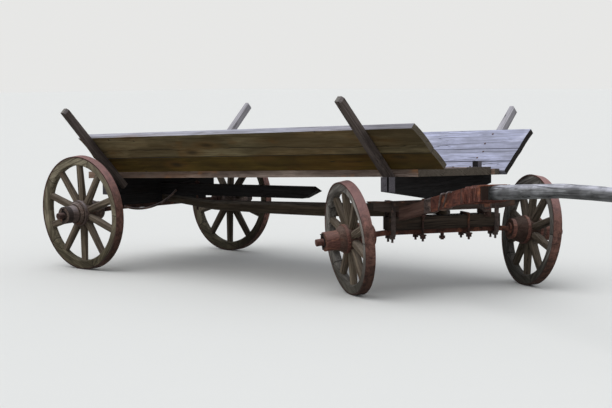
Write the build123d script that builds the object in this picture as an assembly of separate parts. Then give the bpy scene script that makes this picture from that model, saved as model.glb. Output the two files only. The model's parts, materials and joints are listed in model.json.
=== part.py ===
"""Farm hay wagon: four spoked wooden wheels, a steering front gear with hounds and a pole, and an open bed with leaning
side boards held by stakes.

Millimetres. +X points forward along the wagon, +Y to its left, +Z up. The wagon is drawn with its rear axle above X = 0
and the ground at Z = 0, and every piece is moved at the end so that the origin is the bottom centre of the whole wagon.
The front gear stands turned towards the right, as the wagon is parked.
"""
from build123d import *
from collections import namedtuple
from math import atan2, cos, degrees, hypot, radians, sin, tan
import os

# Running gear: driving sizes
WHEELBASE = 2830.0
REAR_RADIUS = 440.0
FRONT_RADIUS = 388.0
REAR_HALF_TRACK = 810.0
FRONT_HALF_TRACK = 672.0
REAR_CAMBER_DEG = 2.8
FRONT_CAMBER_DEG = 5.5
PARKED_STEER_DEG = -29.5

# Wheels
TYRE_WIDTH = 66.0
TYRE_THICKNESS = 10.0
FELLOE_DEPTH = 62.0
FELLOE_WIDTH = 60.0
FELLOE_CHAMFER = 9.0
FELLOE_COUNT = 5
FELLOE_JOINT = 0.9
SPOKE_COUNT = 10
SPOKE_ROOT = (60.0, 47.0)
SPOKE_THROAT = (52.0, 54.0)
SPOKE_TOE = (40.0, 50.0)
SPOKE_SHAVING = 0.24
WHEEL_DISH = 12.0
NAVE_BACK_LENGTH = 158.0
NAVE_NOSE_LENGTH = 194.0
NAVE_WAIST = 97.0
NAVE_SEAT = 94.0
NAVE_SPOKE_ZONE = 38.0
NAVE_BREAST_BAND = 20.0
NAVE_BACK_RADIUS = 65.0
NAVE_NOSE_RADIUS = 60.0
NAVE_BACK_BAND = 27.0
NAVE_NOSE_SLEEVE = 94.0
NAVE_BAND_THICKNESS = 5.5
NAVE_BULGE = 7.0

# Iron axles and their arms
ARM_RADIUS = 24.0
RUNNING_CLEARANCE = 0.05
AXLE_BAR = 34.0
AXLE_BAR_REACH = 8.0
COLLAR_RADIUS = 42.0
COLLAR_THICKNESS = 12.0
END_PLAY = 1.0
WASHER_RADIUS = 36.0
WASHER_THICKNESS = 5.0
ARM_OVERHANG = 56.0
LINCHPIN_RADIUS = 5.5
LINCHPIN_LENGTH = 104.0

# Wooden axle beds and bolsters
REAR_BED_INSET = 340.0
REAR_BED_DEPTH = 104.0
REAR_BED_HEIGHT = 88.0
FRONT_BED_PAST_STRAP = 29.0
FRONT_BED_DEPTH = 110.0
FRONT_BED_HEIGHT = 90.0
GEAR_GAP = 36.0
SAND_BOLSTER_HALF = 530.0
SAND_BOLSTER_HEIGHT = 67.0
SAND_BOLSTER_END = 50.0
WEAR_PLATE_THICKNESS = 8.0
WEAR_PLATE_LENGTH = 250.0
WEAR_PLATE_GAP = 0.3
BOLSTER_PAST_FLOOR_RIGHT = 130.0
BOLSTER_PAST_FLOOR_LEFT = 35.0
BOLSTER_DEPTH = 120.0
FRONT_BOLSTER_HEIGHT = 150.0
BOLSTER_SPLIT = (15.0, 150.0)
BOLSTER_END_RISE = 74.0
BELLY_HALF = 130.0
REAR_BOLSTER_PAST_FLOOR = 98.0
REAR_BOLSTER_DEPTH = 100.0
REAR_BOLSTER_HEIGHT = 107.0

# King bolt
KING_RADIUS = 12.5
KING_HEAD_RADIUS = 24.0
KING_HEAD_HEIGHT = 14.0
KING_HEAD_DEPTH = 6.0
KING_TAIL = 46.0
KING_NUT = (40.0, 18.0)

# Reach, spine beam and stay
REACH_TONGUE = (64.0, 26.0)
REACH_TONGUE_CLEARANCE = 5.0
REACH_TONGUE_BACK = 190.0
REACH_TONGUE_FRONT = 60.0
REACH_TENON = (52.0, 50.0)
REACH_TENON_FLOOR = 10.0
# distance ahead of the rear axle, height from the tenon's middle, sideways wander, radius of each section of the log
REACH_REAR_SECTIONS = [(70.0, 0.0, 0.0, 27.0), (620.0, -36.0, 9.0, 38.0), (1250.0, -22.0, -8.0, 47.0)]
# distance behind the king bolt, height from the tongue's middle, sideways wander, radius
REACH_FRONT_SECTIONS = [(1030.0, -36.0, 4.0, 51.0), (500.0, -12.0, 8.0, 46.0), (190.0, 0.0, 0.0, 34.0)]
SPINE_WIDTH = 76.0
SPINE_HEIGHT = 88.0
SPINE_REAR = -190.0
SPINE_FRONT = 1710.0
SPINE_POINT = 130.0
SPINE_LET_IN = 26.0
SPINE_RISE_DEG = 1.3
REACH_BOLT_RADIUS = 8.0
REACH_BOLT_PLACE = 430.0
REACH_BOLT_TAIL = 26.0
STAY_RADIUS = 9.0
STAY_LEAN_IN = 0.8
STAY_START = 240.0
STAY_LOW = (120.0, 250.0, 30.0)
STAY_END_INSET = 30.0
STAY_END_DROP = 8.0

# Bed, which has settled to its left
BED_ROLL_DEG = 2.2
FLOOR_INSET = 340.0
FLOOR_LEFT_INSET = 35.0
FLOOR_REAR = -331.0
FLOOR_SEAM = 3.0
# width, thickness, front overhang past the front bolster, from the right side to the left
FLOOR_PLANKS = [(276.0, 53.0, 152.0), (273.0, 51.0, 149.0), (290.0, 56.0, 146.0), (57.0, 42.0, 176.0)]
CLEAT_PLANK = 2
LEAN_DEG = 45.0
BOARD_SEAM = 3.0
# height of the boards' foot on the lean line, then their front end past the front bolster at the foot and at the top
RIGHT_FOOT = 48.0
RIGHT_FRONT = (398.0, 340.0)
LEFT_FOOT = 0.0
LEFT_FRONT = (214.0, 248.0)
# width across the board, thickness, cup of its face, rear end
RIGHT_BOARDS = [(150.0, 41.0, 5.0, -70.0), (220.0, 44.0, 9.0, -78.0)]
LEFT_BOARDS = [(92.0, 41.0, 2.0, -60.0), (122.0, 42.0, 3.0, -66.0), (190.0, 42.0, 5.0, -58.0)]
STAKE_WIDTH = 60.0
STAKE_THICKNESS = 50.0
STAKE_TENON = 66.0
STAKE_TIP_WIDTH = 46.0
STAKE_TIP_CHAMFER = 16.0
STAKE_LET_IN = 26.0
# name, bolster, which face of it (1 is its front), side, length above the bolster
STAKES = [("stake_front_right", "front", -1, -1, 742.0), ("stake_front_left", "front", -1, 1, 704.0),
          ("stake_rear_right", "rear", 1, -1, 760.0), ("stake_rear_left", "rear", -1, 1, 886.0)]
CLEAT = (46.0, 46.0, 42.0)
CLEAT_FROM_FRONT = 24.0
CLEAT_ASIDE = 46.0

# Hounds and pole, in the gear's own frame, straight ahead
HOUND_WIDTH = 48.0
HOUND_DEPTH = 88.0
HOUND_TONGUE_BACK = 70.0
HOUND_FROM_BOLSTER_END = 209.0
# forward place, sideways place, height above the axle bed of the middle of a hound at its root, bend and front end
HOUND_ROOT_RISE = (FRONT_BED_DEPTH / 2, SAND_BOLSTER_HALF - HOUND_FROM_BOLSTER_END, 22.0)
HOUND_BEND_RISE = (520.0, 78.0, 167.0)
HOUND_END_RISE = (830.0, 78.0, 211.0)
BAND_THICKNESS = 6.0
BAND_WIDTH = 30.0
BAND_PLACES = [0.08, 0.42, 0.86]
POLE_ROOT_HALF = HOUND_BEND_RISE[1] - HOUND_WIDTH / 2
# distance ahead of the king bolt, sideways wander, height above the axle bed, radius of each section of the pole
POLE_SECTIONS = [(830.0, 0.0, 211.0, 48.0), (1180.0, -4.0, 240.0, 46.0), (1680.0, 5.0, 281.0, 43.0),
                 (2030.0, 2.0, 294.0, 42.0), (2600.0, -5.0, 309.0, 39.0), (3150.0, 0.0, 320.0, 36.0)]
POLE_HOLE_RADIUS = 9.0
POLE_HOLE_PLACE = 3060.0
DRAW_HOLE_RADIUS = 11.0
DRAW_HOLE_PLACE = 960.0

# Straps, U-bolts and the sway strap
STRAP_FROM_END = 144.0
STRAP_WIDTH = 32.0
STRAP_THICKNESS = 6.0
STRAP_TAIL = 44.0
UBOLT_PLACE = 172.0
UBOLT_RADIUS = 8.0
UBOLT_PLATE = (40.0, 9.0)
UBOLT_TAIL = 38.0
NUT = (34.0, 20.0)
SWAY_STRAP = (36.0, 7.0)
SWAY_END_INSET = 22.0
SWAY_SHARE = 0.36
SWAY_SEAT = 26.0
SWAY_BOLT_RADIUS = 7.0
SWAY_BOLT_TAIL = 26.0
SWAY_NUT = (26.0, 11.0)


# Longer than anything that a hole or a cut passes through
beyond = WHEELBASE + POLE_SECTIONS[-1][0]

# Widths that follow from the wheels' track and the sand bolster's length
rear_bed_half = REAR_HALF_TRACK - REAR_BED_INSET
floor_half = REAR_HALF_TRACK - FLOOR_INSET
rear_bolster_half = floor_half + REAR_BOLSTER_PAST_FLOOR
bolster_right = floor_half + BOLSTER_PAST_FLOOR_RIGHT
bolster_left = floor_half + BOLSTER_PAST_FLOOR_LEFT
strap_place = SAND_BOLSTER_HALF - STRAP_FROM_END
front_bed_half = strap_place + FRONT_BED_PAST_STRAP

rear_gear = {}
bed = {}
front_gear = {}
lean = radians(LEAN_DEG)
Axle = namedtuple("Axle", "radius half_track camber bed_half")
rear_axle = Axle(REAR_RADIUS, REAR_HALF_TRACK, radians(REAR_CAMBER_DEG), rear_bed_half)
front_axle = Axle(FRONT_RADIUS, FRONT_HALF_TRACK, radians(FRONT_CAMBER_DEG), front_bed_half)


def hub_z(axle):
    """The height of a wheel's centre, which the camber lowers a little."""
    return axle.radius * cos(axle.camber)


def bar_z(axle):
    """The height of the middle of the square bar that carries the drooping arms."""
    return hub_z(axle) + (axle.half_track - axle.bed_half) * tan(axle.camber)


# Heights that follow from the sizes above
rear_bed_z = bar_z(rear_axle) + AXLE_BAR / 2
rear_bed_top = rear_bed_z + REAR_BED_HEIGHT
front_bar_bottom = bar_z(front_axle) - AXLE_BAR / 2
front_bed_z = bar_z(front_axle) + AXLE_BAR / 2
front_bed_top = front_bed_z + FRONT_BED_HEIGHT
sand_z = front_bed_top + GEAR_GAP
sand_top = sand_z + SAND_BOLSTER_HEIGHT
lower_plate_top = sand_top + WEAR_PLATE_THICKNESS
upper_plate_z = lower_plate_top + WEAR_PLATE_GAP
belly_z = upper_plate_z + WEAR_PLATE_THICKNESS
front_bolster_top = belly_z + FRONT_BOLSTER_HEIGHT
rear_bolster_top = rear_bed_top + REAR_BOLSTER_HEIGHT
bed_slope_deg = degrees(atan2(front_bolster_top - rear_bolster_top, WHEELBASE))
bed_place = Pos(0, 0, rear_bolster_top) * Rot(0, -bed_slope_deg, 0) * Rot(-BED_ROLL_DEG, 0, 0)
bed_front = hypot(WHEELBASE, front_bolster_top - rear_bolster_top)
gear_place = Pos(WHEELBASE, 0, 0) * Rot(0, 0, PARKED_STEER_DEG)


def block(x0, x1, y0, y1, z0, z1):
    """A block between two corners."""
    return Pos((x0 + x1) / 2, (y0 + y1) / 2, (z0 + z1) / 2) * Box(x1 - x0, y1 - y0, z1 - z0)


def rod(x, y, z0, z1, radius):
    """An upright round rod."""
    return Pos(x, y, (z0 + z1) / 2) * Cylinder(radius, z1 - z0)


def hex_nut(x, y, z0, across, height):
    """A six-sided nut that starts at height z0."""
    return Pos(x, y, z0) * extrude(RegularPolygon(across / 2, 6, major_radius=False), height)


def cross_profile(points, half):
    """A prism along X of the outline given as (y, z) points, half its length either way."""
    return extrude(Plane.YZ * make_face(Polyline(*points, close=True)), half, both=True)


def turned(points):
    """The solid that an outline of (radius, axial place) points makes about Z."""
    return revolve(Plane.XZ * make_face(Polyline(*points, close=True)), Axis.Z)


def log(rows):
    """A round log that wanders and tapers through rows of (forward, sideways, height, radius)."""
    return loft([Plane(origin=(x, y, z), x_dir=(0, 1, 0), z_dir=(1, 0, 0)) * Circle(r) for x, y, z, r in rows],
                ruled=True)


def between(rows, place):
    """(sideways, height, radius) of a log at a place along it."""
    for (x0, *first), (x1, *second) in zip(rows, rows[1:]):
        if x0 <= place <= x1:
            share = (place - x0) / (x1 - x0)
            return [a + share * (b - a) for a, b in zip(first, second)]
    raise ValueError("the place is off the log")


# Wheels, each drawn with its axle along Z and its outer face up
def tyre_radius(axle, axial):
    """The tread is coned so that it runs level on the ground under the camber."""
    return axle.radius - axial * tan(axle.camber)


def nave_edges():
    """The nave's outline from its back to its nose, with a bulge between the bands."""
    back, nose = -NAVE_BACK_LENGTH, NAVE_NOSE_LENGTH
    breast = NAVE_SPOKE_ZONE + NAVE_BREAST_BAND
    bore = ARM_RADIUS + RUNNING_CLEARANCE
    sleeve = NAVE_NOSE_SLEEVE
    mid_back = ((NAVE_BACK_RADIUS + NAVE_SEAT) / 2 + NAVE_BULGE, (back + NAVE_BACK_BAND - breast) / 2)
    mid_nose = ((NAVE_NOSE_RADIUS + NAVE_SEAT) / 2 + NAVE_BULGE, (nose - sleeve + breast) / 2)
    step = NAVE_BAND_THICKNESS
    return [
        Line((bore, back), (NAVE_BACK_RADIUS, back)),
        Line((NAVE_BACK_RADIUS, back), (NAVE_BACK_RADIUS, back + NAVE_BACK_BAND)),
        Line((NAVE_BACK_RADIUS, back + NAVE_BACK_BAND), (NAVE_BACK_RADIUS + step, back + NAVE_BACK_BAND)),
        ThreePointArc((NAVE_BACK_RADIUS + step, back + NAVE_BACK_BAND), mid_back, (NAVE_SEAT, -breast)),
        Line((NAVE_SEAT, -breast), (NAVE_SEAT, -NAVE_SPOKE_ZONE)),
        Line((NAVE_SEAT, -NAVE_SPOKE_ZONE), (NAVE_WAIST, -NAVE_SPOKE_ZONE)),
        Line((NAVE_WAIST, -NAVE_SPOKE_ZONE), (NAVE_WAIST, NAVE_SPOKE_ZONE)),
        Line((NAVE_WAIST, NAVE_SPOKE_ZONE), (NAVE_SEAT, NAVE_SPOKE_ZONE)),
        Line((NAVE_SEAT, NAVE_SPOKE_ZONE), (NAVE_SEAT, breast)),
        ThreePointArc((NAVE_SEAT, breast), mid_nose, (NAVE_NOSE_RADIUS + step, nose - sleeve)),
        Line((NAVE_NOSE_RADIUS + step, nose - sleeve), (NAVE_NOSE_RADIUS, nose - sleeve)),
        Line((NAVE_NOSE_RADIUS, nose - sleeve), (NAVE_NOSE_RADIUS, nose)),
        Line((NAVE_NOSE_RADIUS, nose), (bore, nose)),
        Line((bore, nose), (bore, back)),
    ]


def nave():
    """The turned wooden nave with its bore and band seats."""
    return revolve(Plane.XZ * make_face(nave_edges()), Axis.Z)


def nave_bands():
    """The iron on the nave: a band at the back, one either side of the spokes, and a long sleeve on the nose."""
    back, nose = -NAVE_BACK_LENGTH, NAVE_NOSE_LENGTH
    breast = NAVE_SPOKE_ZONE + NAVE_BREAST_BAND
    # inner radius, from, to
    seats = [(NAVE_BACK_RADIUS, back, back + NAVE_BACK_BAND), (NAVE_SEAT, -breast, -NAVE_SPOKE_ZONE),
             (NAVE_SEAT, NAVE_SPOKE_ZONE, breast), (NAVE_NOSE_RADIUS, nose - NAVE_NOSE_SLEEVE, nose)]
    rings = []
    for inner, low, high in seats:
        outer = inner + NAVE_BAND_THICKNESS
        rings.append(turned([(inner, low), (outer, low), (outer, high), (inner, high)]))
    return Compound(rings)


def shaved_section(radius, axial, size):
    """An eight-sided spoke section across X at a radius; size is (along the axle, around the wheel)."""
    a, b = size[0] / 2, size[1] / 2
    c = SPOKE_SHAVING * min(size)
    around_axle = [(b, a - c), (b - c, a), (c - b, a), (-b, a - c), (-b, c - a), (c - b, -a), (b - c, -a), (b, c - a)]
    return Plane(origin=(radius, 0, axial), x_dir=(0, 1, 0), z_dir=(1, 0, 0)) * make_face(
        Polyline(*around_axle, close=True))


def spokes(axle):
    """Ten shaved spokes from the nave to the felloes, leaning outwards by the dish."""
    rim = axle.radius - TYRE_THICKNESS - FELLOE_DEPTH
    throat = NAVE_WAIST + 0.22 * (rim - NAVE_WAIST)
    # radius, axial place, size
    sections = [(NAVE_WAIST - 12, 0.0, SPOKE_ROOT), (throat, 0.22 * WHEEL_DISH, SPOKE_THROAT),
                (rim + 8, WHEEL_DISH, SPOKE_TOE)]
    blank = loft([shaved_section(*row) for row in sections], ruled=True)
    blank = blank & Cylinder(rim, 4 * SPOKE_ROOT[0])
    blank = blank - Cylinder(NAVE_WAIST, 4 * SPOKE_ROOT[0])
    step = 360.0 / SPOKE_COUNT
    return Compound([Rot(0, 0, (i + 0.5) * step) * blank for i in range(SPOKE_COUNT)])


def felloes(axle):
    """Sawn wooden felloes, with an open joint between each pair, inside the coned tyre."""
    rim = axle.radius - TYRE_THICKNESS - FELLOE_DEPTH
    low, high = WHEEL_DISH - FELLOE_WIDTH / 2, WHEEL_DISH + FELLOE_WIDTH / 2
    outer_low = tyre_radius(axle, low) - TYRE_THICKNESS
    outer_high = tyre_radius(axle, high) - TYRE_THICKNESS
    outline = Polyline((rim, low + FELLOE_CHAMFER), (rim + FELLOE_CHAMFER, low), (outer_low, low), (outer_high, high),
                       (rim + FELLOE_CHAMFER, high), (rim, high - FELLOE_CHAMFER), close=True)
    joint_deg = degrees(FELLOE_JOINT / axle.radius)
    arc_deg = 360.0 / FELLOE_COUNT - joint_deg
    one = revolve(Plane.XZ * make_face(outline), Axis.Z, revolution_arc=arc_deg)
    return Compound([Rot(0, 0, i * 360.0 / FELLOE_COUNT + joint_deg / 2) * one for i in range(FELLOE_COUNT)])


def tyre(axle):
    """The iron tyre, a little wider than the felloes."""
    low, high = WHEEL_DISH - TYRE_WIDTH / 2, WHEEL_DISH + TYRE_WIDTH / 2
    outer = [(tyre_radius(axle, low), low), (tyre_radius(axle, high), high)]
    inner = [(r - TYRE_THICKNESS, z) for r, z in reversed(outer)]
    return turned(outer + inner)


def hub_place(axle, side):
    """The wheel's own frame: its centre on the hub line and its Z axis outwards along the drooping arm."""
    return Pos(0, side * axle.half_track, hub_z(axle)) * Rot(-side * (90 + degrees(axle.camber)), 0, 0)


def wheel(prefix, axle, side):
    """The pieces of one wheel, set on its arm by name: side is 1 on the left and -1 on the right."""
    place = hub_place(axle, side)
    shapes = {"nave": nave(), "nave_bands": nave_bands(), "spokes": spokes(axle), "felloes": felloes(axle),
              "tyre": tyre(axle)}
    return {prefix + "_" + name: place * shape for name, shape in shapes.items()}


# Iron axles
def arm_end():
    """Where the arm ends, measured outwards from the wheel's centre."""
    return NAVE_NOSE_LENGTH + ARM_OVERHANG


def linchpin_place():
    """The linchpin's place along the arm, just outside the washer."""
    return NAVE_NOSE_LENGTH + END_PLAY + WASHER_THICKNESS + LINCHPIN_RADIUS + END_PLAY / 2


def axle_iron(axle):
    """A square bar under the axle bed, forged into a drooping round arm and collar at each end."""
    bar_half = axle.bed_half + AXLE_BAR_REACH
    middle = bar_z(axle)
    iron = block(-AXLE_BAR / 2, AXLE_BAR / 2, -bar_half, bar_half, middle - AXLE_BAR / 2, middle + AXLE_BAR / 2)
    inner_end = (axle.half_track - bar_half) / cos(axle.camber)
    collar_out = NAVE_BACK_LENGTH + END_PLAY
    for side in (-1, 1):
        place = hub_place(axle, side)
        root = Pos(0, 0, -(inner_end + collar_out) / 2) * Box(AXLE_BAR, AXLE_BAR, inner_end - collar_out)
        arm_length = collar_out + arm_end()
        arm = Pos(0, 0, (arm_end() - collar_out) / 2) * Cylinder(ARM_RADIUS, arm_length)
        collar = Pos(0, 0, -collar_out - COLLAR_THICKNESS / 2) * Cylinder(COLLAR_RADIUS, COLLAR_THICKNESS)
        pin = Pos(0, 0, linchpin_place()) * Rot(90, 0, 0) * Cylinder(LINCHPIN_RADIUS, 3 * ARM_RADIUS)
        iron = iron + place * root + place * arm + place * collar - place * pin
    return iron


def linchpins(axle, side):
    """The washer and linchpin that keep a wheel on its arm."""
    place = hub_place(axle, side)
    washer = Pos(0, 0, NAVE_NOSE_LENGTH + END_PLAY + WASHER_THICKNESS / 2) * (
        Cylinder(WASHER_RADIUS, WASHER_THICKNESS) - Cylinder(ARM_RADIUS, WASHER_THICKNESS))
    pin = Rot(90, 0, 0) * Cylinder(LINCHPIN_RADIUS, LINCHPIN_LENGTH)
    head = Rot(90, 0, 0) * Pos(0, 0, side * LINCHPIN_LENGTH / 2) * Cylinder(2 * LINCHPIN_RADIUS, LINCHPIN_RADIUS)
    return Compound([place * washer, place * Pos(0, 0, linchpin_place()) * (pin + head)])


# Bed frame helpers
def lean_point(side, along, off, foot=0.0):
    """(y, z) in the bed's frame of a point on the lean line: along it upwards, and off it inwards."""
    y = floor_half + foot + along * sin(lean) - off * cos(lean)
    z = foot + along * cos(lean) + off * sin(lean)
    return side * y, z


def stake(side, length):
    """A stake on the lean line: tapered above the bolster, with a straight tenon let into it."""
    inwards = Vector(0, -side * cos(lean), sin(lean))
    plane = Plane(origin=(0, side * floor_half, 0), x_dir=(1, 0, 0), z_dir=inwards)
    up = side
    half, tip = STAKE_WIDTH / 2, STAKE_TIP_WIDTH / 2
    cut = STAKE_TIP_CHAMFER
    outline = [(-half, -up * STAKE_TENON), (half, -up * STAKE_TENON), (half, 0), (tip, up * (length - cut)),
               (tip - cut, up * length), (-tip, up * length), (-half, 0)]
    return extrude(plane * make_face(Polyline(*outline, close=True)), STAKE_THICKNESS, dir=-inwards)


def side_boards(side, rows, foot, front):
    """Planks stacked up the lean line on the stakes' inner faces, each with a slight cup, sawn off on a slant."""
    planks = []
    along = 0.0
    height = sum(row[0] for row in rows)
    thickest = max(row[1] for row in rows)
    low_end, high_end = bed_front + front[0], bed_front + front[1]
    start_y, start_z = lean_point(side, 0, 0, foot)
    past = max(low_end, high_end) + thickest
    face = Plane(origin=(0, start_y, start_z), x_dir=(1, 0, 0), z_dir=(0, -side * cos(lean), sin(lean)))
    slope = (high_end - low_end) / height
    waste = [(low_end - slope * thickest, -side * thickest), (past, -side * thickest),
             (past, side * (height + 2 * thickest)), (high_end + 2 * slope * thickest, side * (height + 2 * thickest))]
    waste = extrude(face * make_face(Polyline(*waste, close=True)), 3 * thickest, both=True)
    for width, thickness, cup, rear in rows:
        low, high, mid = along, along + width, along + width / 2
        edges = [
            ThreePointArc(lean_point(side, low, 0, foot), lean_point(side, mid, cup, foot),
                          lean_point(side, high, 0, foot)),
            Line(lean_point(side, high, 0, foot), lean_point(side, high, thickness, foot)),
            ThreePointArc(lean_point(side, high, thickness, foot), lean_point(side, mid, thickness + cup, foot),
                          lean_point(side, low, thickness, foot)),
            Line(lean_point(side, low, thickness, foot), lean_point(side, low, 0, foot)),
        ]
        plank = extrude(Plane.YZ * make_face(edges), max(low_end, high_end) - rear)
        planks.append(Pos(rear, 0, 0) * plank - waste)
        along = high + BOARD_SEAM
    return Compound(planks)


# Bed: floor planks, side boards, stakes and cleat, drawn in the bed's own sloping frame
floor_width = 2 * floor_half - FLOOR_LEFT_INSET - (len(FLOOR_PLANKS) - 1) * FLOOR_SEAM
plank_fit = floor_width / sum(width for width, _, _ in FLOOR_PLANKS)
edge = -floor_half
planks = []
plank_edges = []
for width, thickness, overhang in FLOOR_PLANKS:
    plank_edges.append((edge, edge + plank_fit * width))
    planks.append(block(FLOOR_REAR, bed_front + overhang, *plank_edges[-1], 0, thickness))
    edge += plank_fit * width + FLOOR_SEAM
plank_names = ["right", "inner_right", "inner_left", "left"]
bed.update({"floor_plank_" + name: plank for name, plank in zip(plank_names, planks)})
bed["side_boards_right"] = side_boards(-1, RIGHT_BOARDS, RIGHT_FOOT, RIGHT_FRONT)
bed["side_boards_left"] = side_boards(1, LEFT_BOARDS, LEFT_FOOT, LEFT_FRONT)
under_cleat = FLOOR_PLANKS[CLEAT_PLANK]
cleat_y = sum(plank_edges[CLEAT_PLANK]) / 2 + CLEAT_ASIDE
cleat_front = bed_front + under_cleat[2] - CLEAT_FROM_FRONT
bed["stop_cleat"] = block(cleat_front - CLEAT[0], cleat_front, cleat_y - CLEAT[1] / 2, cleat_y + CLEAT[1] / 2,
                          under_cleat[1], under_cleat[1] + CLEAT[2])
stake_offset = STAKE_WIDTH / 2 - STAKE_LET_IN
station = {"front": (bed_front, BOLSTER_DEPTH / 2 + stake_offset), "rear": (0, REAR_BOLSTER_DEPTH / 2 + stake_offset)}
stakes = {}
for name, place, face, side, length in STAKES:
    middle, reach_out = station[place]
    stakes[name] = Pos(middle + face * reach_out, 0, 0) * stake(side, length)
bed.update(stakes)
bed = {name: bed_place * shape for name, shape in bed.items()}
above_bolsters = bed_place * block(-beyond, beyond, -beyond, beyond, 0, beyond)

# Rear gear: iron axle, wooden bed, bolster, reach, spine beam and stay
rear_gear["rear_axle_iron"] = axle_iron(rear_axle)
rear_gear["linchpin_rear_right"] = linchpins(rear_axle, -1)
rear_gear["linchpin_rear_left"] = linchpins(rear_axle, 1)
spine_z = rear_bed_top - SPINE_LET_IN
spine_outline = [(SPINE_REAR, 0), (SPINE_FRONT - SPINE_POINT, 0), (SPINE_FRONT, 0.62 * SPINE_HEIGHT),
                 (SPINE_FRONT - SPINE_POINT / 2, SPINE_HEIGHT), (SPINE_REAR, SPINE_HEIGHT)]
spine = extrude(Plane.XZ * make_face(Polyline(*spine_outline, close=True)), SPINE_WIDTH / 2, both=True)
spine = Pos(0, 0, spine_z) * Rot(0, -SPINE_RISE_DEG, 0) * spine
tenon_z = rear_bed_z + REACH_TENON_FLOOR
tenon_blank = block(-REAR_BED_DEPTH / 2, REACH_REAR_SECTIONS[0][0] + 1, -REACH_TENON[0] / 2, REACH_TENON[0] / 2,
                    tenon_z, tenon_z + REACH_TENON[1])
tongue_z = front_bed_top + REACH_TONGUE_CLEARANCE
tenon_middle = tenon_z + REACH_TENON[1] / 2
tongue_middle = tongue_z + REACH_TONGUE[1] / 2
reach_rows = [(x, y, tenon_middle + z, r) for x, z, y, r in REACH_REAR_SECTIONS]
reach_rows += [(WHEELBASE - x, y, tongue_middle + z, r) for x, z, y, r in REACH_FRONT_SECTIONS]
reach = log(reach_rows)
tongue = block(WHEELBASE - REACH_TONGUE_BACK, WHEELBASE + REACH_TONGUE_FRONT, -REACH_TONGUE[0] / 2,
               REACH_TONGUE[0] / 2, tongue_z, tongue_z + REACH_TONGUE[1])
tongue = fillet(tongue.edges().filter_by(Axis.Z).sort_by(Axis.X)[-2:], REACH_TONGUE[0] / 2 - 2)
reach = reach + tenon_blank + tongue
reach = reach - rod(WHEELBASE, 0, 0, beyond, KING_RADIUS)
rear_bed = block(-REAR_BED_DEPTH / 2, REAR_BED_DEPTH / 2, -rear_bed_half, rear_bed_half, rear_bed_z, rear_bed_top)
rear_bolster = block(-REAR_BOLSTER_DEPTH / 2, REAR_BOLSTER_DEPTH / 2, -rear_bolster_half, rear_bolster_half, rear_bed_top,
                     rear_bolster_top + REAR_BOLSTER_DEPTH)
rear_bolster = rear_bolster - above_bolsters - spine
for name in ("stake_rear_right", "stake_rear_left"):
    rear_bolster = rear_bolster - bed[name]
rear_bed = rear_bed - reach - spine
spine_top_at_bolt = spine_z + SPINE_HEIGHT / cos(radians(SPINE_RISE_DEG)) + REACH_BOLT_PLACE * tan(
    radians(SPINE_RISE_DEG))
_, reach_at_bolt, reach_radius_at_bolt = between(reach_rows, REACH_BOLT_PLACE)
reach_bolt = rod(REACH_BOLT_PLACE, 0, reach_at_bolt - reach_radius_at_bolt - REACH_BOLT_TAIL,
                 spine_top_at_bolt + REACH_BOLT_TAIL, REACH_BOLT_RADIUS)
reach_bolt = reach_bolt + hex_nut(REACH_BOLT_PLACE, 0, spine_top_at_bolt + 0.3, *NUT)
bolt_hole = rod(REACH_BOLT_PLACE, 0, 0, beyond, REACH_BOLT_RADIUS)
reach = reach - bolt_hole
spine = spine - bolt_hole
rear_gear["rear_axle_bed"] = rear_bed
rear_gear["rear_bolster"] = rear_bolster
rear_gear["reach"] = reach
rear_gear["spine_beam"] = spine
rear_gear["reach_bolt"] = reach_bolt
stay_start = Vector(STAY_START, STAY_LEAN_IN - SPINE_WIDTH / 2 - STAY_RADIUS, spine_z + SPINE_HEIGHT / 2)
stay_low = Vector(STAY_LOW[0], -STAY_LOW[1], rear_bed_z - STAY_LOW[2])
stay_end = Vector(REAR_BED_DEPTH / 2 + STAY_RADIUS, -rear_bed_half + STAY_END_INSET, rear_bed_z - STAY_END_DROP)
stay_path = ThreePointArc(stay_start, stay_low, stay_end)
rear_gear["rear_stay"] = sweep(Plane(origin=stay_path @ 0, z_dir=stay_path % 0) * Circle(STAY_RADIUS), stay_path)

# Front bolster of the bed, bellied down to its wear plate, with the king bolt
end_bottom = belly_z + BOLSTER_END_RISE
end_top = front_bolster_top + BOLSTER_DEPTH
front_bolster = cross_profile(
    [(-bolster_right, end_bottom), (-BELLY_HALF, belly_z), (BELLY_HALF, belly_z), (bolster_left, end_bottom),
     (bolster_left, end_top), (-bolster_right, end_top)], BOLSTER_DEPTH / 2)
front_bolster = front_bolster - block(-BOLSTER_SPLIT[0] / 2, BOLSTER_SPLIT[0] / 2, -bolster_right,
                                      BOLSTER_SPLIT[1] - bolster_right, belly_z, end_top)
front_bolster = Pos(WHEELBASE, 0, 0) * front_bolster - above_bolsters
king_head_z = front_bolster_top - KING_HEAD_HEIGHT - KING_HEAD_DEPTH
for name in ("stake_front_right", "stake_front_left"):
    front_bolster = front_bolster - bed[name]
front_bolster = front_bolster - rod(WHEELBASE, 0, 0, beyond, KING_RADIUS) - rod(
    WHEELBASE, 0, king_head_z, beyond, KING_HEAD_RADIUS)
king_bottom = front_bar_bottom - KING_TAIL
king_bolt = rod(WHEELBASE, 0, king_bottom, king_head_z, KING_RADIUS) + rod(
    WHEELBASE, 0, king_head_z, king_head_z + KING_HEAD_HEIGHT, KING_HEAD_RADIUS)
king_bolt = king_bolt + hex_nut(WHEELBASE, 0, king_bottom + 8, *KING_NUT)
upper_plate = Pos(WHEELBASE, 0, 0) * block(-BOLSTER_DEPTH / 2, BOLSTER_DEPTH / 2, -WEAR_PLATE_LENGTH / 2,
                                           WEAR_PLATE_LENGTH / 2, upper_plate_z, belly_z)
rear_gear["front_bolster"] = front_bolster
rear_gear["king_bolt"] = king_bolt
rear_gear["wear_plate_upper"] = upper_plate - rod(WHEELBASE, 0, 0, beyond, KING_RADIUS)

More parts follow.
